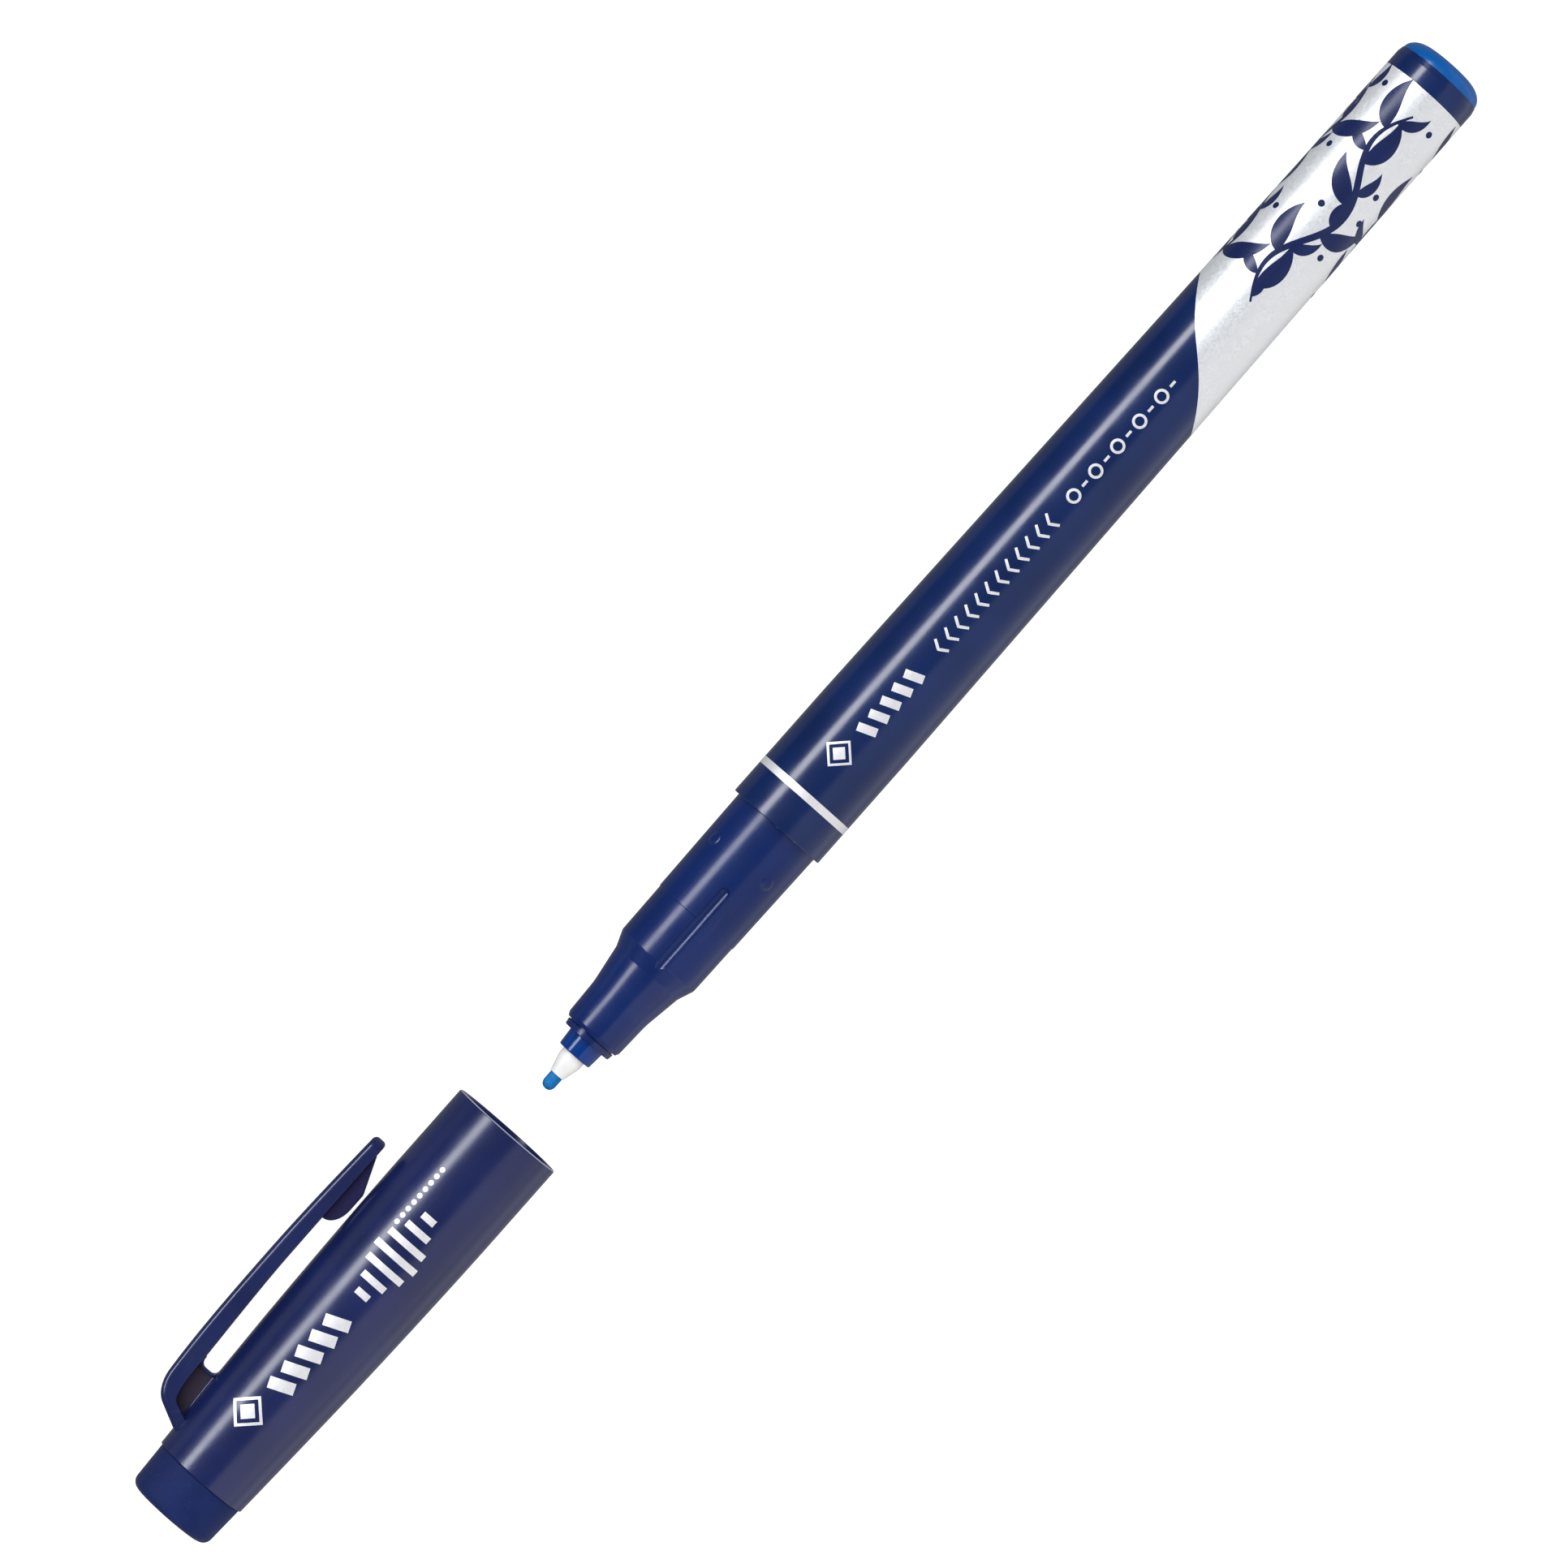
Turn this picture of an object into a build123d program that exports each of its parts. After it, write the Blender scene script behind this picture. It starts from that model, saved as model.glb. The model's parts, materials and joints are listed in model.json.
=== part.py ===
from build123d import *
import os
from math import acos, atan2, cos, degrees, hypot, radians, sin

# A capped fibre-tip technical pen, lying on a desk with its cap pulled off and in line with it.
# +X is the writing direction along the pen's axis and +Z is up. All sizes are in millimetres.
# The origin is on the axis, at the barrel's front edge, where the cap's mouth stops when closed.

# ---- Driving dimensions ----

FIT_GAP = 0.02  # between pieces that are pushed together
RUNNING_GAP = 0.05  # between pieces that move on each other

# Barrel, measured back from its front edge
BARREL_LENGTH = 93.8
GRIP_LENGTH = 13.0
TAPER_LENGTH = 67.0
GRIP_R = 5.2
TAIL_R = 4.6
TAIL_EDGE_R = 4.47
TAIL_EDGE_LENGTH = 0.6
BORE_R = 3.6
RIB_COUNT = 3
RIB_WIDTH = 0.7
RIB_START = 20.0
RIB_LENGTH = 60.0
RIB_ROOT = 0.1  # how far a rib reaches into the wall

# Front section: a spigot inside the barrel, then the body and nose that the cap covers
SPIGOT_LENGTH = 9.0
SPIGOT_R = 3.95
SECTION_R = 4.69
SECTION_WAIST_R = 4.57
SECTION_STEP_X = 11.3
SECTION_FRONT_R = 4.5
SHOULDER_X = 16.7
SHOULDER_R = 4.45
NOSE_X = 18.3
NOSE_R = 3.82
NOSE_WAIST_X = 22.1
NOSE_WAIST_R = 3.23
NOSE_END_X = 26.1
NOSE_END_R = 3.1
NOSE_ROUND = 0.25
LIP_R = 2.73
LIP_LENGTH = 0.75
LIP_RELIEF = 0.1
LIP_RELIEF_R = 2.5
CHAMBER_R = 3.4
FEED_R = 1.2
RESERVOIR_SEAT_X = 11.5
HOLDER_SEAT_X = 16.0
AIR_GROOVE_COUNT = 3
AIR_GROOVE_DEPTH = 0.25
AIR_GROOVE_WIDTH = 0.5

# Moulded details of the section, turned about the axis from the clip towards the upper side
BUMP_COUNT = 4
BUMP_TURN = 39.0
BUMP_X = 4.6
BUMP_R = 0.7
BUMP_TOP_R = 4.74
BUMP_HEIGHT = 0.12
BUMP_DEPTH = 0.6
GROOVE_TURN = 96.0
GROOVE_BACK_X = 7.4
GROOVE_LENGTH = 10.8
GROOVE_WIDTH = 0.96
GROOVE_DEPTH = 0.3

# Ink store, nib and what holds the nib
RESERVOIR_R = 3.15
FILM_R = 3.3
RESERVOIR_REAR = 86.0
NIB_R = 0.66
NIB_TIP_R = 0.68
NIB_REAR_X = 2.5
NIB_TIP_X = 32.7
NIB_BULLET_LENGTH = 0.75
HOLDER_R = 1.97
HOLDER_NECK_R = 1.94
HOLDER_FRONT_R = 1.8
HOLDER_FRONT_X = 28.6
HOLDER_EDGE = 0.12
SHROUD_SEAT_X = 25.5
SHROUD_STEM_R = 1.0
SHROUD_R = 1.25
SHROUD_COLLAR = 0.7
SHROUD_TIP_X = 31.05
SHROUD_TIP_R = 0.78

# End plug, measured back from the barrel's rear edge
PLUG_R = 4.42
PLUG_HEAD = 1.52
PLUG_ROUND = 2.2
PLUG_SPIGOT = 5.2
PLUG_BORE_R = 2.2
PLUG_PROP_R = 2.8

# Cap, measured from its mouth towards its crown
CAP_TO_NIB = 5.26
CAP_LENGTH = 43.4
CAP_R = 5.85
CAP_STRAIGHT = 9.0
CAP_WAIST = 28.0
CAP_WAIST_R = 5.53
CAP_CROWN_R = 4.94
MOUTH_EDGE = 0.12
CAP_BORE_R = 4.9
CAP_BORE_DEPTH = 18.8
SNAP_RING_AT = 3.2
SNAP_RING_LENGTH = 0.9
SNAP_RING_R = 4.8
RETAINER_LENGTH = 0.7
RETAINER_R = 4.6
LINER_BORE_R = 4.78
LINER_BORE_STRAIGHT = 22.0
CEILING = 38.2
CEILING_R = 4.25
ERASER_SOCKET_FLOOR = 39.2

# Inner cap, which seals on the nose when the cap is closed
FUNNEL_R = 3.95
FUNNEL_END = 22.2
SEAL_START = 23.2
SEAL_LENGTH = 1.0
SEAL_GAP = 0.05
LINER_CAVITY_R = 3.4
LINER_CAVITY_END = 34.6
LINER_FLANGE = 1.5
LINER_R = 4.0
LINER_COLLAR_START = 33.5
LINER_END = 36.0
LINER_BOSS_R = 1.5

# Eraser on the crown
ERASER_LENGTH = 4.66
ERASER_R = 4.76
ERASER_END_R = 4.56
ERASER_ROUND = 0.95
ERASER_STEM_R = 2.6

# Clip, a beam over the cap: places from the cap's mouth, radii from the axis
CLIP_TAIL = 8.5
CLIP_TAIL_R = 8.98
CLIP_TAIL_SWEEP = 0.9
CLIP_CREST = 22.7
CLIP_CREST_R = 9.37
CLIP_SHOULDER = 37.8
CLIP_SHOULDER_R = 8.92
CLIP_BROW = 40.4
CLIP_BROW_R = 7.5
CLIP_ROOT = 41.8
CLIP_ROOT_R = 4.9
CLIP_FOOT_R = 4.3
CLIP_ARCH = 39.6
CLIP_ARCH_SPRING_R = 6.3
CLIP_ARCH_CROWN = 37.8
CLIP_ARCH_R = 6.95
CLIP_INNER_R = 7.6
CLIP_PLAIN = 20.2
CLIP_WIDTH = 4.3
CLIP_TAIL_WIDTH = 3.6
CLIP_EDGE = 0.4
PAD_R = 6.08
PAD_BACK = 17.6
PAD_ROUND = 1.52
PAD_ROUND_LENGTH = 2.2
PAD_FLAT = 1.77
PAD_FRONT = 9.9
PAD_WIDTH = 2.2
WEB_START = 35.3
WEB_TOP_R = 7.4
WEB_THICKNESS = 0.9
KNUCKLE_AT = 34.3
KNUCKLE_HEIGHT = 8.18
KNUCKLE_R = 1.08

# ---- Places worked out from them ----

CAP_X = NIB_TIP_X + CAP_TO_NIB
LIP_X = NOSE_END_X + LIP_LENGTH
TAIL_X = -BARREL_LENGTH
RIB_MIDDLE_X = -RIB_START - RIB_LENGTH / 2
WHOLE_WIDTH = 2 * CLIP_CREST_R

# The cap rests on its shell and on one long edge of the clip, so the clip leans below horizontal.
edge_reach = hypot(CLIP_CREST_R - CLIP_EDGE, CLIP_WIDTH / 2 - CLIP_EDGE)
edge_turn = atan2(CLIP_WIDTH / 2 - CLIP_EDGE, CLIP_CREST_R - CLIP_EDGE)
clip_from_down = edge_turn + acos((CAP_R - CLIP_EDGE) / edge_reach)
clip_way = Vector(0, -sin(clip_from_down), -cos(clip_from_down))
upper_way = Vector(0, -cos(clip_from_down), sin(clip_from_down))

# Outlines are drawn in the plane of the axis and the clip: x along the pen, y towards the clip.
PEN = Plane(origin=(0, 0, 0), x_dir=(1, 0, 0), z_dir=-upper_way)
CAP = Plane(origin=(CAP_X, 0, 0), x_dir=(1, 0, 0), z_dir=-upper_way)


def outward_plane(x, turn):
    """Plane at x on the axis that faces outward, turned from the clip towards the upper side."""
    outward = clip_way * cos(radians(turn)) + upper_way * sin(radians(turn))
    return Plane(origin=(x, 0, 0), x_dir=(1, 0, 0), z_dir=outward)


def knuckle_side(gap):
    """Outline of the beam's side of the clip's knuckle, grown by a gap."""
    with BuildSketch(CAP) as outline:
        with Locations((KNUCKLE_AT / 2, KNUCKLE_HEIGHT)):
            Rectangle(KNUCKLE_AT, WHOLE_WIDTH)
        with Locations((KNUCKLE_AT, KNUCKLE_HEIGHT)):
            Circle(KNUCKLE_R + gap)
    return outline.sketch


# ---- Pen body ----

with BuildPart() as barrel:
    with BuildSketch(PEN):
        with BuildLine():
            Polyline(
                (0, SPIGOT_R + FIT_GAP),
                (0, GRIP_R),
                (-GRIP_LENGTH, GRIP_R),
                (-GRIP_LENGTH - TAPER_LENGTH, TAIL_R),
                (TAIL_X + TAIL_EDGE_LENGTH, TAIL_R),
                (TAIL_X, TAIL_EDGE_R),
                (TAIL_X, BORE_R),
                (-SPIGOT_LENGTH, BORE_R),
                (-SPIGOT_LENGTH, SPIGOT_R + FIT_GAP),
                close=True,
            )
        make_face()
    revolve(axis=Axis.X)
    # Ribs along the bore keep the ink store in the middle.
    for rib in range(RIB_COUNT):
        rib_crest = outward_plane(RIB_MIDDLE_X, rib * 360 / RIB_COUNT).offset(FILM_R + FIT_GAP)
        with BuildSketch(rib_crest):
            Rectangle(RIB_LENGTH, RIB_WIDTH)
        extrude(amount=BORE_R + RIB_ROOT - FILM_R - FIT_GAP)
barrel.part.label = "barrel"

with BuildPart() as end_plug:
    with BuildSketch(PEN):
        with BuildLine():
            Line((TAIL_X, BORE_R - FIT_GAP), (TAIL_X, PLUG_R))
            EllipticalCenterArc(
                (TAIL_X, PLUG_R - PLUG_ROUND), PLUG_HEAD, PLUG_ROUND, start_angle=90, arc_size=90
            )
            Polyline(
                (TAIL_X - PLUG_HEAD, PLUG_R - PLUG_ROUND),
                (TAIL_X - PLUG_HEAD, 0),
                (TAIL_X, 0),
                (TAIL_X, PLUG_BORE_R),
                (-RESERVOIR_REAR, PLUG_BORE_R),
                (-RESERVOIR_REAR, PLUG_PROP_R),
                (TAIL_X + PLUG_SPIGOT, PLUG_PROP_R),
                (TAIL_X + PLUG_SPIGOT, BORE_R - FIT_GAP),
                (TAIL_X, BORE_R - FIT_GAP),
            )
        make_face()
    revolve(axis=Axis.X)
end_plug.part.label = "end_plug"

with BuildPart() as ink_reservoir:
    with BuildSketch(PEN):
        with BuildLine():
            Polyline(
                (-RESERVOIR_REAR, 0),
                (-RESERVOIR_REAR, RESERVOIR_R),
                (RESERVOIR_SEAT_X, RESERVOIR_R),
                (RESERVOIR_SEAT_X, NIB_R + FIT_GAP),
                (NIB_REAR_X, NIB_R + FIT_GAP),
                (NIB_REAR_X, 0),
                close=True,
            )
        make_face()
    revolve(axis=Axis.X)
ink_reservoir.part.label = "ink_reservoir"

with BuildPart() as reservoir_film:
    with BuildSketch(PEN):
        with BuildLine():
            Polyline(
                (-RESERVOIR_REAR, RESERVOIR_R),
                (-RESERVOIR_REAR, FILM_R),
                (RESERVOIR_SEAT_X, FILM_R),
                (RESERVOIR_SEAT_X, RESERVOIR_R),
                close=True,
            )
        make_face()
    revolve(axis=Axis.X)
reservoir_film.part.label = "reservoir_film"

with BuildPart() as front_section:
    with BuildSketch(PEN):
        with BuildLine():
            Polyline(
                (-SPIGOT_LENGTH, CHAMBER_R),
                (-SPIGOT_LENGTH, SPIGOT_R),
                (0, SPIGOT_R),
                (0, SECTION_R),
                (SECTION_STEP_X, SECTION_WAIST_R),
                (SECTION_STEP_X, SECTION_FRONT_R),
                (SHOULDER_X, SHOULDER_R),
                (NOSE_X, NOSE_R),
                (NOSE_WAIST_X, NOSE_WAIST_R),
                (NOSE_END_X - NOSE_ROUND, NOSE_END_R),
            )
            ThreePointArc(
                (NOSE_END_X - NOSE_ROUND, NOSE_END_R),
                (
                    NOSE_END_X - NOSE_ROUND * (1 - sin(radians(45))),
                    NOSE_END_R - NOSE_ROUND * (1 - cos(radians(45))),
                ),
                (NOSE_END_X, NOSE_END_R - NOSE_ROUND),
            )
            Polyline(
                (NOSE_END_X, NOSE_END_R - NOSE_ROUND),
                (NOSE_END_X, LIP_RELIEF_R),
                (NOSE_END_X + LIP_RELIEF, LIP_RELIEF_R),
                (NOSE_END_X + LIP_RELIEF, LIP_R),
                (LIP_X, LIP_R - LIP_RELIEF),
                (LIP_X, HOLDER_R + FIT_GAP),
                (HOLDER_SEAT_X, HOLDER_R + FIT_GAP),
                (HOLDER_SEAT_X, FEED_R),
                (RESERVOIR_SEAT_X, FEED_R),
                (RESERVOIR_SEAT_X, CHAMBER_R),
                (-SPIGOT_LENGTH, CHAMBER_R),
            )
        make_face()
    revolve(axis=Axis.X)
    # Low domes that the cap's snap ring clicks past
    dome_r = (BUMP_R**2 + BUMP_HEIGHT**2) / (2 * BUMP_HEIGHT)
    dome_sag = BUMP_HEIGHT / 4 * (1 + BUMP_HEIGHT / (4 * dome_r))
    for bump in range(BUMP_COUNT):
        outward = outward_plane(BUMP_X, BUMP_TURN + bump * 360 / BUMP_COUNT)
        side_on = Plane(origin=outward.origin, x_dir=(1, 0, 0), z_dir=-outward.y_dir)
        with BuildSketch(side_on):
            with BuildLine():
                ThreePointArc(
                    (0, BUMP_TOP_R),
                    (BUMP_R / 2, BUMP_TOP_R - dome_sag),
                    (BUMP_R, BUMP_TOP_R - BUMP_HEIGHT),
                )
                Polyline(
                    (BUMP_R, BUMP_TOP_R - BUMP_HEIGHT),
                    (BUMP_R, BUMP_TOP_R - BUMP_DEPTH),
                    (0, BUMP_TOP_R - BUMP_DEPTH),
                    (0, BUMP_TOP_R),
                )
            make_face()
        revolve(axis=Axis((BUMP_X, 0, 0), outward.z_dir))
    # A round-ended groove along each side, open at the shoulder
    for side in (0, 180):
        groove_floor = outward_plane(GROOVE_BACK_X, GROOVE_TURN + side)
        with BuildSketch(groove_floor.offset(SECTION_FRONT_R - GROOVE_DEPTH)):
            with Locations((GROOVE_LENGTH / 2, 0)):
                SlotOverall(GROOVE_LENGTH, GROOVE_WIDTH)
        extrude(amount=SECTION_R, mode=Mode.SUBTRACT)
    # Air reaches the ink store along slots beside the nib holder.
    for slot in range(AIR_GROOVE_COUNT):
        slot_length = LIP_X - RESERVOIR_SEAT_X
        with BuildSketch(outward_plane(RESERVOIR_SEAT_X, slot * 360 / AIR_GROOVE_COUNT)):
            with Locations((slot_length / 2, 0)):
                Rectangle(slot_length, AIR_GROOVE_WIDTH)
        extrude(amount=HOLDER_R + AIR_GROOVE_DEPTH, mode=Mode.SUBTRACT)
front_section.part.label = "front_section"

with BuildPart() as nib_holder:
    with BuildSketch(PEN):
        with BuildLine():
            Polyline(
                (HOLDER_SEAT_X, NIB_R + FIT_GAP),
                (HOLDER_SEAT_X, HOLDER_R),
                (LIP_X, HOLDER_R),
                (LIP_X, HOLDER_NECK_R),
                (HOLDER_FRONT_X - HOLDER_EDGE, HOLDER_FRONT_R),
                (HOLDER_FRONT_X, HOLDER_FRONT_R - HOLDER_EDGE),
                (HOLDER_FRONT_X, SHROUD_STEM_R + FIT_GAP),
                (SHROUD_SEAT_X, SHROUD_STEM_R + FIT_GAP),
                (SHROUD_SEAT_X, NIB_R + FIT_GAP),
                close=True,
            )
        make_face()
    revolve(axis=Axis.X)
nib_holder.part.label = "nib_holder"

with BuildPart() as nib_shroud:
    with BuildSketch(PEN):
        with BuildLine():
            Polyline(
                (SHROUD_SEAT_X, NIB_R + FIT_GAP),
                (SHROUD_SEAT_X, SHROUD_STEM_R),
                (HOLDER_FRONT_X, SHROUD_STEM_R),
                (HOLDER_FRONT_X, SHROUD_R),
                (HOLDER_FRONT_X + SHROUD_COLLAR, SHROUD_R),
                (SHROUD_TIP_X, SHROUD_TIP_R),
                (SHROUD_TIP_X, NIB_R + FIT_GAP),
                close=True,
            )
        make_face()
    revolve(axis=Axis.X)
nib_shroud.part.label = "nib_shroud"

with BuildPart() as nib:
    with BuildSketch(PEN):
        with BuildLine():
            Polyline(
                (NIB_TIP_X, 0),
                (NIB_REAR_X, 0),
                (NIB_REAR_X, NIB_R),
                (SHROUD_TIP_X, NIB_R),
                (SHROUD_TIP_X, NIB_TIP_R),
                (NIB_TIP_X - NIB_BULLET_LENGTH, NIB_TIP_R),
            )
            Spline(
                (NIB_TIP_X - NIB_BULLET_LENGTH, NIB_TIP_R),
                (NIB_TIP_X, 0),
                tangents=[(1, 0), (0, -1)],
            )
        make_face()
    revolve(axis=Axis.X)
nib.part.label = "nib"

# ---- Cap ----

# The clip as it is moulded, with its pad and its arched root, before it is parted at the knuckle
with BuildPart() as clip_moulding:
    with BuildSketch(CAP):
        with BuildLine():
            Spline(
                (CLIP_TAIL, CLIP_TAIL_R),
                (CLIP_CREST, CLIP_CREST_R),
                (CLIP_SHOULDER, CLIP_SHOULDER_R),
                tangents=[(1, 0.05), (1, -0.09)],
            )
            Spline(
                (CLIP_SHOULDER, CLIP_SHOULDER_R),
                (CLIP_BROW, CLIP_BROW_R),
                (CLIP_ROOT, CLIP_ROOT_R),
                tangents=[(1, -0.09), (0.5, -0.9)],
            )
            Polyline(
                (CLIP_ROOT, CLIP_ROOT_R),
                (CLIP_ROOT, CLIP_FOOT_R),
                (CLIP_ARCH, CLIP_FOOT_R),
                (CLIP_ARCH, CLIP_ARCH_SPRING_R),
            )
            Spline(
                (CLIP_ARCH, CLIP_ARCH_SPRING_R),
                (CLIP_ARCH_CROWN, CLIP_ARCH_R),
                (KNUCKLE_AT, KNUCKLE_HEIGHT - KNUCKLE_R),
                (CLIP_PLAIN, CLIP_INNER_R),
                tangents=[(0, 1), (-1, 0)],
            )
            Polyline(
                (CLIP_PLAIN, CLIP_INNER_R),
                (CLIP_TAIL, CLIP_INNER_R),
                (CLIP_TAIL, CLIP_TAIL_R),
            )
        make_face()
    extrude(amount=CLIP_WIDTH / 2, both=True)
    # Seen from above, the beam narrows to a bowed tail.
    with BuildSketch(outward_plane(CAP_X, 0)):
        with BuildLine():
            Polyline(
                (CLIP_TAIL + CLIP_TAIL_SWEEP, CLIP_TAIL_WIDTH / 2),
                (CLIP_CREST, CLIP_WIDTH / 2),
                (CLIP_ROOT, CLIP_WIDTH / 2),
                (CLIP_ROOT, -CLIP_WIDTH / 2),
                (CLIP_CREST, -CLIP_WIDTH / 2),
                (CLIP_TAIL + CLIP_TAIL_SWEEP, -CLIP_TAIL_WIDTH / 2),
            )
            ThreePointArc(
                (CLIP_TAIL + CLIP_TAIL_SWEEP, -CLIP_TAIL_WIDTH / 2),
                (CLIP_TAIL, 0),
                (CLIP_TAIL + CLIP_TAIL_SWEEP, CLIP_TAIL_WIDTH / 2),
            )
        make_face()
    extrude(amount=WHOLE_WIDTH, mode=Mode.INTERSECT)
    outer_faces = clip_moulding.faces().sort_by(Axis((0, 0, 0), clip_way))[-2:]
    long_edges = outer_faces.edges().filter_by(lambda edge: edge.length > 1.1 * CLIP_WIDTH)
    chamfer(long_edges, CLIP_EDGE)
    # The pad under the tail, which presses on the cap
    with BuildSketch(CAP):
        with BuildLine():
            EllipticalCenterArc(
                (PAD_BACK - PAD_ROUND_LENGTH, PAD_R + PAD_ROUND),
                PAD_ROUND_LENGTH,
                PAD_ROUND,
                start_angle=-90,
                arc_size=90,
            )
            Polyline(
                (PAD_BACK - PAD_ROUND_LENGTH, PAD_R),
                (PAD_BACK - PAD_ROUND_LENGTH - PAD_FLAT, PAD_R),
                (PAD_FRONT, CLIP_INNER_R),
                (PAD_FRONT, CLIP_INNER_R + CLIP_EDGE),
                (PAD_BACK, CLIP_INNER_R + CLIP_EDGE),
                (PAD_BACK, PAD_R + PAD_ROUND),
            )
        make_face()
    extrude(amount=PAD_WIDTH / 2, both=True)

with BuildPart() as cap_clip:
    add(clip_moulding.part)
    extrude(knuckle_side(0), amount=CLIP_WIDTH, both=True, mode=Mode.INTERSECT)
cap_clip.part.label = "cap_clip"

with BuildPart() as cap_shell:
    add(clip_moulding.part)
    extrude(knuckle_side(RUNNING_GAP), amount=CLIP_WIDTH, both=True, mode=Mode.SUBTRACT)
    # A thin web stiffens the root under its arch.
    with BuildSketch(CAP):
        with BuildLine():
            Polyline(
                (WEB_START, CLIP_FOOT_R),
                (WEB_START, WEB_TOP_R),
                (CLIP_ARCH, WEB_TOP_R),
                (CLIP_ARCH, CLIP_FOOT_R),
                close=True,
            )
        make_face()
    extrude(amount=WEB_THICKNESS / 2, both=True)
    # The shell, solid at first, so that the clip's foot and web stay out of its bore
    with BuildSketch(CAP):
        with BuildLine():
            Polyline(
                (0, 0),
                (0, CAP_R - MOUTH_EDGE),
                (MOUTH_EDGE, CAP_R),
                (CAP_STRAIGHT, CAP_R),
            )
            Spline(
                (CAP_STRAIGHT, CAP_R),
                (CAP_WAIST, CAP_WAIST_R),
                (CAP_LENGTH, CAP_CROWN_R),
                tangents=[(1, 0), (1, -0.05)],
            )
            Polyline((CAP_LENGTH, CAP_CROWN_R), (CAP_LENGTH, 0), (0, 0))
        make_face()
    revolve(axis=Axis.X)
    with BuildSketch(CAP):
        with BuildLine():
            Polyline(
                (CEILING, 0),
                (CEILING, CEILING_R),
                (LINER_BORE_STRAIGHT, LINER_BORE_R),
                (CAP_BORE_DEPTH + RETAINER_LENGTH, LINER_BORE_R),
                (CAP_BORE_DEPTH + RETAINER_LENGTH, RETAINER_R),
                (CAP_BORE_DEPTH, RETAINER_R),
                (CAP_BORE_DEPTH, CAP_BORE_R),
                (SNAP_RING_AT + SNAP_RING_LENGTH, CAP_BORE_R),
            )
            ThreePointArc(
                (SNAP_RING_AT + SNAP_RING_LENGTH, CAP_BORE_R),
                (SNAP_RING_AT + SNAP_RING_LENGTH / 2, SNAP_RING_R),
                (SNAP_RING_AT, CAP_BORE_R),
            )
            Polyline((SNAP_RING_AT, CAP_BORE_R), (0, CAP_BORE_R), (0, 0), (CEILING, 0))
        make_face()
    revolve(axis=Axis.X, mode=Mode.SUBTRACT)
    with BuildSketch(CAP):
        with BuildLine():
            Polyline(
                (ERASER_SOCKET_FLOOR, 0),
                (ERASER_SOCKET_FLOOR, ERASER_STEM_R + FIT_GAP),
                (CAP_LENGTH, ERASER_STEM_R + FIT_GAP),
                (CAP_LENGTH, 0),
                close=True,
            )
        make_face()
    revolve(axis=Axis.X, mode=Mode.SUBTRACT)
cap_shell.part.label = "cap_shell"

with BuildPart() as cap_liner:
    flange_start = CAP_BORE_DEPTH + RETAINER_LENGTH + RUNNING_GAP
    flange_end = flange_start + LINER_FLANGE
    seal_r = NOSE_WAIST_R + SEAL_GAP
    collar_r = CEILING_R - RUNNING_GAP
    with BuildSketch(CAP):
        with BuildLine():
            Polyline(
                (flange_start, FUNNEL_R),
                (flange_start, LINER_BORE_R - RUNNING_GAP),
                (flange_end, LINER_BORE_R - RUNNING_GAP),
                (flange_end, LINER_R),
                (LINER_COLLAR_START, LINER_R),
                (LINER_COLLAR_START, collar_r),
                (LINER_END, collar_r),
                (LINER_END, LINER_BOSS_R),
                (CEILING - RUNNING_GAP, LINER_BOSS_R),
                (CEILING - RUNNING_GAP, 0),
                (LINER_CAVITY_END, 0),
                (LINER_CAVITY_END, LINER_CAVITY_R),
                (SEAL_START + SEAL_LENGTH, LINER_CAVITY_R),
                (SEAL_START + SEAL_LENGTH, seal_r),
                (SEAL_START, seal_r),
                (FUNNEL_END, LINER_CAVITY_R),
                close=True,
            )
        make_face()
    revolve(axis=Axis.X)
cap_liner.part.label = "cap_liner"

with BuildPart() as eraser:
    eraser_end = CAP_LENGTH + ERASER_LENGTH
    with BuildSketch(CAP):
        with BuildLine():
            Polyline(
                (eraser_end, ERASER_END_R - ERASER_ROUND),
                (eraser_end, 0),
                (ERASER_SOCKET_FLOOR, 0),
                (ERASER_SOCKET_FLOOR, ERASER_STEM_R),
                (CAP_LENGTH, ERASER_STEM_R),
                (CAP_LENGTH, ERASER_R),
                (eraser_end - ERASER_ROUND, ERASER_END_R),
            )
            ThreePointArc(
                (eraser_end - ERASER_ROUND, ERASER_END_R),
                (
                    eraser_end - ERASER_ROUND * (1 - sin(radians(45))),
                    ERASER_END_R - ERASER_ROUND * (1 - cos(radians(45))),
                ),
                (eraser_end, ERASER_END_R - ERASER_ROUND),
            )
        make_face()
    revolve(axis=Axis.X)
eraser.part.label = "eraser"

# ---- Files ----

PIECES = [
    barrel,
    end_plug,
    ink_reservoir,
    reservoir_film,
    front_section,
    nib_holder,
    nib_shroud,
    nib,
    cap_shell,
    cap_liner,
    eraser,
    cap_clip,
]

os.makedirs("parts", exist_ok=True)
for piece in PIECES:
    export_step(piece.part, f"parts/{piece.part.label}.step")
    print(f"{piece.part.label}: {len(piece.part.solids())} solid, {piece.part.volume:.1f} mm3")
print(f"clip leans {90 - degrees(clip_from_down):.2f} degrees below horizontal")
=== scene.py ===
import json
import math

import bmesh
import bpy
from mathutils import Matrix, Vector


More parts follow.
